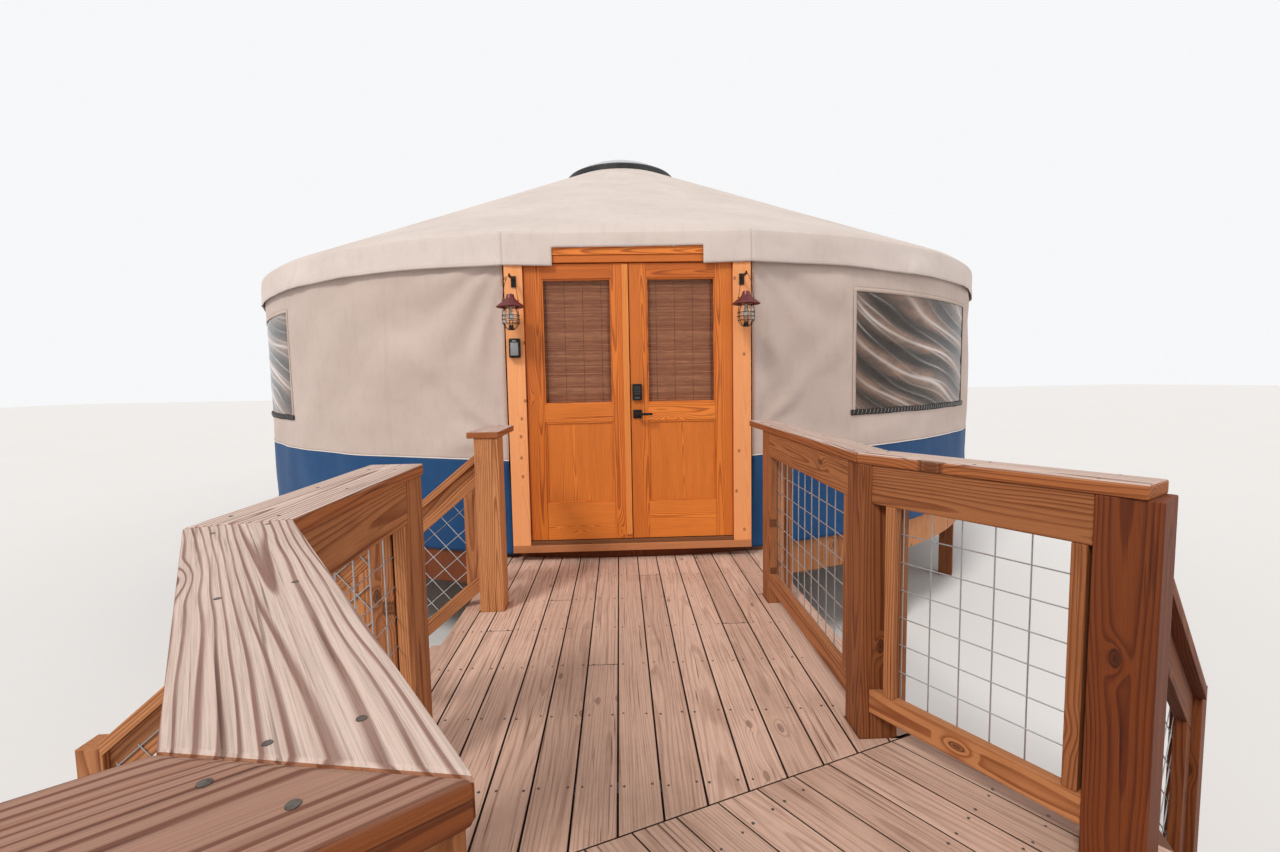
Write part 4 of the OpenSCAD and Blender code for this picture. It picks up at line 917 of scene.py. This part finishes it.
def window_sheets():
    """Each window: clear vinyl, insect screen, the binding round both, and a web strip with loops below."""
    rim = 0.016
    step = rim / WALL_R
    for k, (name, w) in enumerate(WINDOWS.items()):
        columns, rows = (213, 121) if name in ("right", "left") else (109, 61)
        az = np.linspace(w - HALF_WIN - 0.003, w + HALF_WIN + 0.003, columns)
        z = np.linspace(WIN_Z0 - 0.012, WIN_Z1 + 0.012, rows)
        a, h = np.meshgrid(az, z)
        p, q = (a - az[0]) / (az[-1] - az[0]), (h - z[0]) / (z[-1] - z[0])
        sweep = q + 0.80 * p ** 0.6 + 0.05 * soft_noise(p * 3, q * 3, 61 + k)
        broad = np.sin(ROUND * 3.1 * sweep + 2.4 * soft_noise(p * 1.6, q * 2.6, 71 + k))
        fine = np.sin(ROUND * 8.5 * sweep + 3.0 * soft_noise(p * 2.5, q * 4, 75 + k))
        body = np.sin(math.pi * p) ** 0.3 * np.sin(math.pi * q) ** 0.3
        strong = np.clip(0.5 + 0.7 * soft_noise(p * 3.1, q * 2.5, 81 + k), 0, 1)
        # painted highlights: thin bright lines along the crests of the wrinkles, stronger in patches
        shine = np.clip(broad, 0, 1) ** 26 + 0.9 * np.clip(fine, 0, 1) ** 11 * strong
        shine = np.clip(shine * body * (0.3 + 0.9 * strong), 0, 1)
        lift = 0.0030 * (1 + 0.6 * broad + 0.4 * fine) * body
        # the vinyl's colour gets painted highlights on the wrinkle crests and painted light and shade across the broad
        # swells
        pane = wall_cloth(
            f"{name}_window_vinyl", a, h, 0.0012 + lift, "window_vinyl", thick=0.0008,
            kept={"shine": shine, "swell": np.clip(0.5 + 0.5 * broad * body, 0, 1)},
            replaced=() if k else ["window_panes"],
        )
        a, h, p, q = (grid[::4, ::4] for grid in (a, h, p, q))
        net = wall_cloth(
            f"{name}_window_screen", a, h, -0.0035 + 0.0008 * soft_noise(p * 4, q * 3, 91), "insect_screen",
            thick=0.0006, replaced=() if k else ["window_screens"],
        )

        az = stops(w - HALF_WIN - step, w - HALF_WIN + step, w + HALF_WIN - step, w + HALF_WIN + step, step=0.006)
        z = stops(WIN_Z0 - rim, WIN_Z0 + rim, WIN_Z1 - rim, WIN_Z1 + rim, step=0.022)
        a, h = np.meshgrid(az, z)
        inside_z = (middles(z) > WIN_Z0 + rim) & (middles(z) < WIN_Z1 - rim)
        inside = (np.abs(middles(az) - w) < HALF_WIN - step)[None, :] & inside_z[:, None]
        binding = wall_cloth(
            f"{name}_window_binding", a, h, 0.0085 + 0.0012 * soft_noise(a * WALL_R * 22, h * 22, 95), "trim_canvas",
            keep=~inside, replaced=() if k else ["window_bindings"],
        )

        az = np.linspace(w - HALF_WIN - 0.008, w + HALF_WIN + 0.008, 200)
        a, h = np.meshgrid(az, np.linspace(WIN_Z0 - 0.024, WIN_Z0 + 0.022, 6))
        loops = 0.0035 * np.abs(np.sin(a * WALL_R * math.pi / 0.075)) ** 0.5
        drop = 0.003 * soft_line(a * 30, 97)
        strip = wall_cloth(f"{name}_window_web", a, h, 0.0115 + loops, "dark_webbing", drop)
        bm = bmesh.new()
        for i in range(46):
            at = az[0] + (i + 0.5) / 46 * (az[-1] - az[0])
            ends = ((-0.001, -0.017, 0.0165), (0.0006, 0, 0.0195), (0.0016, 0.016, 0.0165))
            add_tube(bm, [round_wall(at + along, WIN_Z0 + up, WALL_R + off) for along, up, off in ends], 0.0022, 6)
        made_piece(f"{name}_window_loops", bm, "grey_face", slot="black_metal")


# ---------------------------------------------------------------- doors

LEAF_Y, LEAF_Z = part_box("left_leaf")[0].yz
LEAF_WIDE, LEAF_TALL, LEAF_DEEP = 0.754, 2.032, 0.044
HINGE_X = 0.757
STILE, TOP_RAIL, LOCK_RAIL, LOW_RAIL, LOCK_RAIL_Z = 0.125, 0.107, 0.130, 0.280, 0.885
LOCK_X, GAP = 0.050, 0.0003


def leaf_bars(side):
    """The stiles, rails, panel and mouldings of a leaf, from its hinge edge towards the middle."""
    hair, set_back, moulding = 0.0006, 0.0004, 0.011
    glass_z, top_z = LOCK_RAIL_Z + LOCK_RAIL, LEAF_TALL - TOP_RAIL
    x0, x1 = STILE + hair, LEAF_WIDE - STILE - hair
    bars = [((0, 0, 0), (STILE, LEAF_DEEP, LEAF_TALL)), ((LEAF_WIDE - STILE, 0, 0), (LEAF_WIDE, LEAF_DEEP, LEAF_TALL))]
    bars += [
        ((x0, in_by, z0), (x1, LEAF_DEEP - in_by, z1)) for in_by, z0, z1 in (
            (set_back, top_z, LEAF_TALL), (set_back, LOCK_RAIL_Z, glass_z), (set_back, 0, LOW_RAIL),
            (0.012, LOW_RAIL + hair, LOCK_RAIL_Z - hair),
        )
    ]
    for z0, z1, front, back in ((glass_z, top_z, 0.006, 0.013), (LOW_RAIL, LOCK_RAIL_Z, 0.004, 0.0115)):
        left, right = STILE + moulding, LEAF_WIDE - STILE - moulding
        bars += [
            ((x0, front, z0 + hair), (left, back, z1 - hair)), ((right, front, z0 + hair), (x1, back, z1 - hair)),
            ((left, front, z0 + hair), (right, back, z0 + moulding)),
            ((left, front, z1 - moulding), (right, back, z1 - hair)),
        ]
    for low, high in bars:
        ends = sorted(side * (HINGE_X - x) for x in (low[0], high[0]))
        yield tuple((x, LEAF_Y + y, LEAF_Z + z) for x, (_, y, z) in zip(ends, (low, high)))


def door_leaf(side, name):
    bm = bmesh.new()
    for low, high in leaf_bars(side):
        add_bar(bm, low, high)
    eased(bm, 0.0018)
    tones = [
        ((side * 0.38, LEAF_Y + 0.022, LEAF_Z + z), 0.09, tone)
        for z, tone in ((0.14, 0.0), (0.583, 0.3), (0.95, 0.1), (1.98, 1.0))
    ]
    lay_grain(bm, 61 + side, pith=(0.025, 0.075), tones=(0.3, 0.8), chosen=tones)
    made_piece(f"{name}_door_leaf", bm, "door_fir", f"{name}_door", [f"{name}_leaf"], smooth=False)


def door_blind(side, name):
    low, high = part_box(f"{name}_blind")
    count = int((high.z - low.z - 0.002) / BLIND_PITCH)
    x, k = np.meshgrid(np.linspace(low.x, high.x, 10), np.linspace(0, count, count * 4 + 1))
    bulge = np.abs(np.sin(k * math.pi)) ** 0.6 * 0.0030
    y = low.y + 0.0052 - bulge + 0.0012 * soft_noise(x * 3, k * 0.02, 101 + side)
    z = low.z + k * BLIND_PITCH + 0.0006 * soft_noise(x * 8, k * 0.3, 103)
    piece = cloth(
        f"{name}_bamboo_blind", np.stack([x, y, z], -1), np.stack([x, z], -1), "bamboo_sticks", thick=0.0012,
        body=f"{name}_door", replaced=[f"{name}_blind"],
    )


def header_boards():
    low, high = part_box("door_header")
    bm = bmesh.new()
    mid = low.z + 0.052
    add_bar(bm, (low.x, low.y + 0.007, low.z), (high.x, high.y, mid - 0.001))
    add_bar(bm, (low.x, low.y, mid + 0.001), (high.x, high.y, high.z))
    eased(bm, 0.0022)
    lay_grain(bm, 81, pith=(0.05, 0.14))
    made_piece("door_header_boards", bm, "door_fir", replaced=["door_header"], smooth=False)


def lock_set():
    """The keypad lock with its turn inside, the square roses of the lever, and the keys."""
    front, back = LEAF_Y - GAP, LEAF_Y + LEAF_DEEP + GAP

    def plate(half, y0, y1, z0, z1, x=LOCK_X):
        add_bar(bm, (x - half, y0, LEAF_Z + z0), (x + half, y1, LEAF_Z + z1))

    bm = bmesh.new()
    plate(0.035, front - 0.024, front, 1.037, 1.157)
    plate(0.032, front - 0.009, front, 0.903, 0.967)
    plate(0.032, back, back + 0.009, 0.903, 0.967)
    plate(0.029, back, back + 0.0107, 1.068, 1.126)
    plate(0.006, back + 0.0097, back + 0.0177, 1.078, 1.116)
    eased(bm, 0.004, 3)
    made_piece("lock_set", bm, "black_iron", "right_door", ["door_locks"])
    bm = bmesh.new()
    for row in range(4):
        for col in range(3):
            z = 1.133 - row * 0.0165
            x = LOCK_X + (col - 1) * 0.016
            plate(0.0055, front - 0.0259, front - 0.0232, z - 0.0045, z + 0.0045, x)
    plate(0.019, front - 0.0253, front - 0.0235, 1.0455, 1.0625)
    eased(bm, 0.0009)
    made_piece("keypad_keys", bm, "key_rubber", "right_door", smooth=False)


def key_box_piece():
    low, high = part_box("key_box")
    bm = bmesh.new()
    add_bar(bm, low, high)
    eased(bm, 0.009, 3)
    made_piece("key_box_body", bm, "black_iron", replaced=["key_box"], slot="key_box")
    bm = bmesh.new()
    y = low.y
    add_bar(bm, (low.x + 0.012, y - 0.003, low.z + 0.016), (high.x - 0.012, y + 0.004, high.z - 0.030))
    add_bar(bm, (low.x + 0.026, y - 0.005, high.z - 0.024), (high.x - 0.026, y + 0.004, high.z - 0.013))
    eased(bm, 0.0025)
    made_piece("key_box_face", bm, "grey_face")


# ---------------------------------------------------------------- lanterns

HOOD_R = 0.1
HOOD = (
    (0.0, 0.092), (0.012, 0.0915), (0.023, 0.088), (0.0265, 0.079), (0.0290, 0.066), (0.038, 0.053), (0.052, 0.040),
    (0.068, 0.0275), (0.084, 0.0165), (0.094, 0.008), (0.0985, 0.003), (HOOD_R, 0.0), (0.0985, -0.0008),
    (0.0955, 0.0008), (0.082, 0.010), (0.064, 0.022), (0.048, 0.032), (0.042, 0.034), (0.042, 0.002), (0.0, 0.002),
)
GLOBE = (
    (0.0, 0.0), (0.020, 0.001), (0.036, 0.006), (0.048, 0.020), (0.0535, 0.036), (0.054, 0.058), (0.053, 0.078),
    (0.046, 0.098), (0.038, 0.110), (0.038, 0.126), (0.0345, 0.126), (0.0345, 0.108), (0.0425, 0.096),
    (0.0495, 0.077), (0.0505, 0.058), (0.050, 0.037), (0.0445, 0.022), (0.034, 0.0095), (0.020, 0.0045), (0.0, 0.0035),
)
BULB = (
    (0.0, -0.092), (0.010, -0.090), (0.019, -0.078), (0.021, -0.066), (0.017, -0.050), (0.0125, -0.034),
    (0.0125, -0.004), (0.0, -0.004),
)
RIB = (
    (0.022, 0.003), (0.040, 0.018), (0.0585, 0.045), (0.0605, 0.072), (0.0595, 0.100), (0.055, 0.140), (0.048, 0.186),
)
HOOPS = ((0.0585, 0.045), (0.0605, 0.072), (0.0595, 0.100), (0.047, 0.184), (0.023, 0.003))
CAGE_DROP, GLOBE_DROP = 0.158, 0.126


def lanterns():
    """Both lanterns: hood, globe, cage, handle and lamp, each kind as one piece."""
    low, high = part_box("lantern_caps")
    reach, y, brim = (high.x - low.x) / 2 - HOOD_R, (low.y + high.y) / 2, low.z
    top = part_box("lantern_bails")[1].z - 0.002

    def turned(name, profile, z, finish, node=None, steps=64):
        bm = bmesh.new()
        for side in (-1, 1):
            add_lathe(bm, profile, Vector((side * reach, y, z)), steps)
        made_piece(name, bm, finish, replaced=[node] if node else ())

    turned("lantern_hoods", HOOD, brim, "red_enamel", "lantern_caps")
    turned("lantern_glasses", GLOBE, brim - GLOBE_DROP, "lantern_glass", "lantern_globes")
    bm = bmesh.new()
    foot = brim - CAGE_DROP
    for cx in (-reach, reach):
        for a in (math.radians(60 * k + 30) for k in range(6)):
            add_tube(bm, [(cx + r * math.cos(a), y + r * math.sin(a), foot + z) for r, z in RIB], 0.0021, 6)
        for r, z in HOOPS:
            turns = np.linspace(0, ROUND, 37)[:-1]
            hoop = [(cx + r * math.cos(a), y + r * math.sin(a), foot + z) for a in turns]
            add_tube(bm, hoop, 0.0022, 6, closed=True)
        add_tube(bm, [(cx, y, foot + 0.0005), (cx, y, foot + 0.0295)], 0.018, 24)
    made_piece("lantern_wires", bm, "black_iron", replaced=["lantern_cages"])
    bm = bmesh.new()
    half = (
        (-0.054, brim + 0.042), (-0.050, brim + 0.075), (-0.036, top - 0.058), (-0.019, top - 0.018),
        (-0.008, top - 0.003),
    )
    outline = [*half, (0.0, top), *((-x, z) for x, z in reversed(half))]
    for cx in (-reach, reach):
        add_tube(bm, [(cx + x, y, z) for x, z in outline], 0.0019)
        for x in (cx - 0.054, cx + 0.054):
            add_tube(bm, [(x, y - 0.003, brim + 0.044), (x, y + 0.003, brim + 0.044)], 0.0045, 12)
    made_piece("lantern_handles", bm, "black_iron", replaced=["lantern_bails"])
    turned("lantern_bulbs", BULB, brim, "bulb_frost", steps=32)


# ---------------------------------------------------------------- heads of nails and screws, made by Geometry Nodes

def heads_tree(material):
    """A node group that puts a small head on each point, with chance turns and sizes."""
    tree = bpy.data.node_groups.new("fixing_heads", "GeometryNodeTree")
    for socket, way, kind in (
        ("Geometry", "INPUT", "Geometry"), ("Head radius", "INPUT", "Float"), ("Head height", "INPUT", "Float"),
        ("Geometry", "OUTPUT", "Geometry"),
    ):
        tree.interface.new_socket(socket, in_out=way, socket_type="NodeSocket" + kind)
    into, out, head, spread, turn, size, real, paint = (tree.nodes.new(kind) for kind in (
        "NodeGroupInput", "NodeGroupOutput", "GeometryNodeMeshCylinder", "GeometryNodeInstanceOnPoints",
        "FunctionNodeRandomValue", "FunctionNodeRandomValue", "GeometryNodeRealizeInstances", "GeometryNodeSetMaterial",
    ))
    turn.data_type = "FLOAT_VECTOR"
    for node, key, value in (
        (head, "Vertices", 9), (turn, 0, (-0.05, -0.05, 0.0)), (turn, 1, (0.05, 0.05, 6.28)), (turn, "Seed", 7),
        (size, 2, 0.85), (size, 3, 1.12), (size, "Seed", 3), (paint, "Material", material),
    ):
        node.inputs[key].default_value = value
    for source, output, target, key in (
        (into, "Head radius", head, "Radius"), (into, "Head height", head, "Depth"),
        (into, "Geometry", spread, "Points"), (head, "Mesh", spread, "Instance"), (turn, 0, spread, "Rotation"),
        (size, 1, spread, "Scale"), (spread, 0, real, 0), (real, 0, paint, "Geometry"), (paint, 0, out, 0),
    ):
        tree.links.new(source.outputs[output], target.inputs[key])
    return tree


def fixing_heads(name, places, radius, height):
    seeds = bpy.data.meshes.new(name + "_places")
    seeds.from_pydata(places, [], [])
    holder = linked(name + "_places", seeds)
    modifier = holder.modifiers.new("heads", "NODES")
    modifier.node_group = tree = heads_tree(FINISHES["nail_steel"][0])
    keys = {s.name: s.identifier for s in tree.interface.items_tree if s.in_out == "INPUT"}
    modifier[keys["Head radius"]] = radius
    modifier[keys["Head height"]] = height
    mesh = bpy.data.meshes.new_from_object(holder.evaluated_get(bpy.context.evaluated_depsgraph_get()))
    mesh.name = name
    bpy.data.objects.remove(holder)
    settle(name, mesh, "nail_steel")


# ---------------------------------------------------------------- deck, rails and stairs

HALF_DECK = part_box("deck_boards")[1].x
BEND_Y, BEND, MITRE = -6.805, math.radians(35.4), math.radians(21.0)
TURN = Matrix.Translation((HALF_DECK, BEND_Y, 0)) @ Matrix.Rotation(BEND, 4, "Z")
POST_HALF = 0.07
STRAIGHT_POSTS = "12ABC"
POSTS = {
    "1": (0.8545, -5.4627), "2": (0.8545, -6.7627), "A": (-0.8545, -5.4627), "B": (-0.8545, -6.8777),
    "C": (-0.8545, -7.632), "3": (-0.176, -0.624), "4": (-0.176, -2.039), "D": (-2.014, -0.545),
    "E": (-3.113, -0.545), "F": (-3.113, -2.039), "G": (-1.6445, -2.039),
}
POSTS = {n: Vector((*at, 0)) if n in STRAIGHT_POSTS else TURN @ Vector((*at, 0)) for n, at in POSTS.items()}
BAYS = [("21", 1), ("23", -1), ("BC", 1), ("CD", 1)]
LANDING_BAYS = [(pair, 1) for pair in ("DE", "EF", "FG", "G4")]
PANEL_Z0, PANEL_Z1 = 1.1145, 1.8937
WIRE_R, MESH = 0.0024, 0.1
BOARD, JOIST_STEP = 0.143, 0.410
STRIP_HALF = 0.019


def rail_line(pair):
    """A rail's start, direction and length from the middles of its two posts."""
    start, end = (POSTS[p] for p in pair)
    return start, (end - start).normalized(), (end - start).length


def post_room(name, along):
    """From a post's middle to its side, measured along a rail's line."""
    lean = math.atan2(along.y, along.x) - (0 if name in STRAIGHT_POSTS else BEND)
    lean = abs((lean + math.pi / 4) % (math.pi / 2) - math.pi / 4)
    return POST_HALF * (math.cos(lean) + math.sin(lean)) + 0.0005


def strips_home(bm):
    """Moves the strips against their posts."""
    room = POST_HALF * (math.cos(BEND) + math.sin(BEND)) + 0.0033
    for island in islands(bm):
        low, high = (Vector([f(v.co[i] for v in island) for i in range(3)]) for f in (min, max))
        for (first, second), _ in BAYS + LANDING_BAYS:
            start, along, length = rail_line((first, second))
            away = (low + high) / 2 - start
            away.z = 0
            t = away.dot(along)
            if abs(away.cross(along).z) > 0.09:
                continue
            if abs(t - room - STRIP_HALF) < 0.03:
                move = along * (post_room(first, along) - room)
            elif abs(length - t - room - STRIP_HALF) < 0.03:
                move = along * (room - post_room(second, along))
            else:
                continue
            bmesh.ops.translate(bm, verts=list(island), vec=move)
            break


def bay_wires(node, bays):
    """Round welded wires between the posts of each bay: uprights first, level wires outside them."""
    bm = bmesh.new()
    up = Vector((0, 0, 1))
    for (first, second), side in bays:
        start, along, length = rail_line((first, second))
        inward = Vector((-along.y, along.x, 0)) * side
        r0, r1 = post_room(first, along), post_room(second, along)
        length -= r0 + r1 + 0.002
        middle = start + along * (r0 + 0.001 + length / 2)
        count, rows = int(length / MESH), int((PANEL_Z1 - PANEL_Z0) / MESH)
        for i in range(count + 1):
            at = middle + along * ((i - count / 2) * MESH) + inward * 0.0278
            add_tube(bm, [at + up * PANEL_Z0, at + up * PANEL_Z1], WIRE_R, 6)
        for j in range(rows + 1):
            at = middle + inward * 0.0292 + up * ((PANEL_Z0 + PANEL_Z1) / 2 + (j - rows / 2) * MESH)
            add_tube(bm, [at - along * length / 2, at + along * length / 2], WIRE_R, 6)
    made_piece("round_" + node, bm, "galvanised_wire", replaced=[node])


def clipped(a, b, corners):
    """The part of a straight line inside a convex outline, or None."""
    t0, t1 = 0.0, 1.0
    for c, d in zip(corners, corners[1:] + corners[:1]):
        out = Vector((d[1] - c[1], c[0] - d[0]))
        fa, fb = (a - Vector(c)).dot(out), (b - Vector(c)).dot(out)
        if fa > 0 and fb > 0:
            return None
        if fa > 0:
            t0 = max(t0, fa / (fa - fb))
        elif fb > 0:
            t1 = min(t1, fa / (fa - fb))
    return (a.lerp(b, t0), a.lerp(b, t1)) if t1 - t0 > 1e-3 else None


def stair_wire_grids():
    """The stairs' wires are turned to the slope."""
    slope = 0.194 / 0.232
    x0, x1 = -0.033, 0.8685
    hand, foot = 1.76, 1.085
    corners = [(x0, foot - x0 * slope), (x1, foot - x1 * slope), (x1, hand - x1 * slope), (x0, hand - x0 * slope)]
    middle = (x0 + x1) / 2
    centre = Vector((middle, (hand + foot) / 2 - middle * slope))
    turn = Matrix.Rotation(-math.atan(slope), 2)
    lines = [(Vector(((i - 7.5) * MESH, -0.55)), Vector(((i - 7.5) * MESH, 0.55)), 0.0) for i in range(16)]
    lines += [(Vector((-0.75, (j - 5.5) * MESH)), Vector((0.75, (j - 5.5) * MESH)), 0.0014) for j in range(12)]
    left_y, right_y = (POSTS["A"].y + POSTS["B"].y) / 2, (-0.624 - 2.039) / 2
    left = Matrix.Translation((0.0671 - HALF_DECK, left_y, 0)) @ Matrix.Scale(-1, 4, (1, 0, 0))
    right = TURN @ Matrix.Translation((-0.0671, right_y, 0))
    bm = bmesh.new()
    for flight in (left, right):
        for side in (-1, 1):
            for a, b, out in lines:
                inside = clipped(centre + turn @ a, centre + turn @ b, corners)
                if inside and (inside[1] - inside[0]).length > 0.02:
                    y = side * (0.7275 + STRIP_HALF + 0.0003 + WIRE_R + out)
                    add_tube(bm, [flight @ Vector((q.x, y, q.y)) for q in inside], WIRE_R, 6)
    made_piece("round_stair_wires", bm, "galvanised_wire", replaced=["stair_wires"])


def cap_screws():
    """Screws through the caps into the posts and between them."""
    rng = random.Random(9)
    places = []
    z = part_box("rail_caps")[1].z + 0.0002
    rails = [(pair, 1, 0.146) for pair in ("12", "23")]
    rails += [(pair, -1, 0.184) for pair in ("BC", "CD", "DE", "EF", "FG", "G4")]
    for pair, side, wide in rails:
        start, along, length = rail_line(pair)
        out = Vector((-along.y, along.x, 0)) * side
        for t in (0.045, length / 2, length - 0.045):
            for across in (-0.045, 0.045 if t < length - 0.05 else 0.06):
                at = start + along * (t + rng.uniform(-0.02, 0.02)) + out * (wide / 2 - 0.076 + across)
                places.append((at.x, at.y, z))
    fixing_heads("cap_screws", places, 0.0046, 0.0012)


def deck_nails():
    """Two heads to a board at every joist."""
    rng = random.Random(5)
    z = DECK_Z + 0.0002

    def nail_at(x, y):
        return Vector((x + rng.uniform(-0.005, 0.005), y + rng.uniform(-0.008, 0.008), z))

    places = []
    edges = [-1.0305, -0.9295] + [-0.8285 + BOARD * i for i in range(14)]
    for x0, x1 in zip(edges, edges[1:]):
        for y in (-4.5713 - JOIST_STEP * i for i in range(7)):
            if y >= BEND_Y - (HALF_DECK - x0) * math.tan(MITRE) + 0.04:
                y = -4.605 if y > -4.60 else y
                places += [nail_at(x, y) for x in (x0 + 0.024, x1 - 0.024)]
    rows = [-0.30, 0.09] + [-2.1096 + JOIST_STEP * i + 0.019 for i in range(5)]
    for i in range(23):
        x1 = -BOARD * i
        for y in rows:
            if y <= -x1 * math.tan(BEND - MITRE) - 0.05 and (i < 15 or y <= -0.45):
                places += [TURN @ nail_at(x, y) for x in (x1 - 0.024, x1 - 0.119)]
    fixing_heads("board_nails", places, 0.0050, 0.0016)


def butt_joints(bm):
    """Saws some of the straight boards across, where two lengths meet on a joist."""
    for x, y in (
        (-0.47, -5.39), (-0.185, -6.21), (0.53, -5.80), (0.815, -5.39), (-0.757, -5.80), (0.10, -4.98), (-0.98, -5.39),
    ):
        for group in islands(bm):
            xs, ys = ([v.co[i] for v in group] for i in (0, 1))
            if min(xs) < x < max(xs) and min(ys) < y - 0.1 and max(ys) > y + 0.1:
                faces = {p for v in group for p in v.link_faces}
                edges = {e for v in group for e in v.link_edges}
                board = [*group, *edges, *faces]
                twin = bmesh.ops.duplicate(bm, geom=board)["geom"]
                for geom, at, outer in ((board, y - 0.001, True), (twin, y + 0.001, False)):
                    cut = bmesh.ops.bisect_plane(
                        bm, geom=geom, plane_co=(0, at, 0), plane_no=(0, 1, 0), clear_outer=outer, clear_inner=not outer
                    )["geom_cut"]
                    bmesh.ops.holes_fill(bm, edges=[g for g in cut if isinstance(g, bmesh.types.BMEdge)], sides=0)
                break
    bmesh.ops.recalc_face_normals(bm, faces=bm.faces)


# ---------------------------------------------------------------- the whole building

def timber_pieces():
    """The deck, platform and roof timbers. Spots near the camera have tones of their own."""
    def at(x, y, z):
        return tuple(TURN @ Vector((x, y, z)))

    post_3 = at(-0.176, -0.624, 0.98)
    post_a = (*POSTS["A"].xy, 0.98)
    near_cap = [(at(-2.56, -0.60, CAP_Z), 0.55, 0.95)]
    right_stair = [(at(0.35, -1.33, 1.0), 1.1, 0.9)]
    wide_boards = dict(pith=(0.02, 0.12), tones=(0.0, 0.8))
    for piece, node, finish, ease, seed, more in (
        ("caps_of_rails", "rail_caps", "weathered_caps", 0.006, 23,
            dict(pith=(0.012, 0.05), tones=(0.0, 0.3), chosen=near_cap)),
        ("deck_planks", "deck_boards", "weathered_boards", 0.0055, 24, dict(change=butt_joints, **wide_boards)),
        ("bent_planks", "bent_boards", "weathered_boards", 0.0055, 29, wide_boards),
        ("rail_posts", "deck_posts", "rail_timber", 0.005, 26,
            dict(pith=(0.0, 0.05), chosen=[(post_3, 0.4, 1.0), (post_a, 0.4, 0.0)])),
        ("rail_planks", "rail_boards", "rail_timber", 0.004, 27, dict(tones=(0.0, 0.6))),
        ("rail_battens", "rail_strips", "rail_timber", 0.003, 28,
            dict(change=strips_home, tones=(0.1, 0.6), chosen=[(post_3, 0.8, 0.6)])),
        ("under_framing", "deck_framing", "framing_timber", 0, 30, {}),
        ("stair_strings", "stair_stringers", "framing_timber", 0.002, 31, {}),
        ("stair_steps", "stair_treads", "weathered_boards", 0.004, 32, {}),
        ("stair_handrails", "stair_rails", "rail_timber", 0.003, 33, dict(tones=(0.0, 0.5), chosen=right_stair)),
        ("ground_posts", "platform_posts", "rail_timber", 0.003, 34, dict(pith=(0.0, 0.05))),
        ("platform_girders", "platform_beams", "framing_timber", 0.002, 35, {}),
        ("platform_joists", "floor_joists", "framing_timber", 0, 36, {}),
        ("bent_fascia", "platform_fascia", "rail_timber", 0, 37, dict(pith=(0.05, 0.2), slot="fascia_timber")),
        ("laths_front_right", "lattice_front_right", "lattice_fir", 0, 40, {}),
        ("laths_back_right", "lattice_back_right", "lattice_fir", 0, 40, {}),
        ("laths_back_left", "lattice_back_left", "lattice_fir", 0, 40, {}),
        ("laths_front_left", "lattice_front_left", "lattice_fir", 0, 40, {}),
        ("roof_rafters", "rafters", "rafter_fir", 0.002, 41, {}),
        ("ring_of_rafters", "compression_ring", "rafter_fir", 0, 42, {}),
    ):
        timbers(piece, node, finish, ease, seed, **more)


def studio_floor():
    mesh = bpy.data.meshes.new("studio_floor")
    mesh.from_pydata([(-90, -90, -0.001), (90, -90, -0.001), (90, 90, -0.001), (-90, 90, -0.001)], [], [(0, 1, 2, 3)])
    pale = Finish("pale_floor", Roughness=0.9)
    pale.give(Base_Color=pale.mix(pale.noise(pale.place(), 0.4), (0.80, 0.795, 0.79), (0.83, 0.825, 0.82)))
    mesh.materials.append(pale.material)
    linked("studio_floor", mesh)


def main():
    place_camera()
    light_studio()
    make_finishes()

    wall_sheet()
    band_sheet()
    roof_sheet()
    valance_sheet()
    window_sheets()

    timbers("door_jambs", "door_posts", "post_pine", 0.003, 11, pith=(0.03, 0.1))
    header_boards()
    door_valance_sheet()
    timbers("sill_board", "door_sill", "sill_fir", 0.004, 12, tones=(0.9, 1.0))
    timbers("threshold_board", "door_threshold", "framing_timber", 0.003, 13)
    for side, name in ((-1, "left"), (1, "right")):
        door_leaf(side, name)
        door_blind(side, name)
    timbers("meeting_strip", "meeting_batten", "strip_fir", 0.002, 14, body="left_door")
    lock_set()
    shell_copy("lever_pair", "door_lever", "black_iron", "lever", 0.003)
    shell_copy("lantern_arms", "lantern_brackets", "black_iron", "yurt", 0.0025)
    key_box_piece()
    lanterns()

    timber_pieces()
    deck_nails()
    cap_screws()
    bay_wires("wire_panels", BAYS)
    bay_wires("landing_wires", LANDING_BAYS)
    stair_wire_grids()

    for node, finish in (
        ("floor", "floor_planks"), ("tension_cable", "steel_cable"), ("skylight_rim", "skylight_rim_black"),
        ("skylight_dome", "skylight_acrylic"), ("left_glass", "door_glass"), ("right_glass", "door_glass"),
        ("post_hinges", "hinge_steel"), ("left_hinges", "hinge_steel"), ("right_hinges", "hinge_steel"),
    ):
        for s in cad[node].material_slots:
            s.material = FINISHES[finish][0]
    studio_floor()


main()
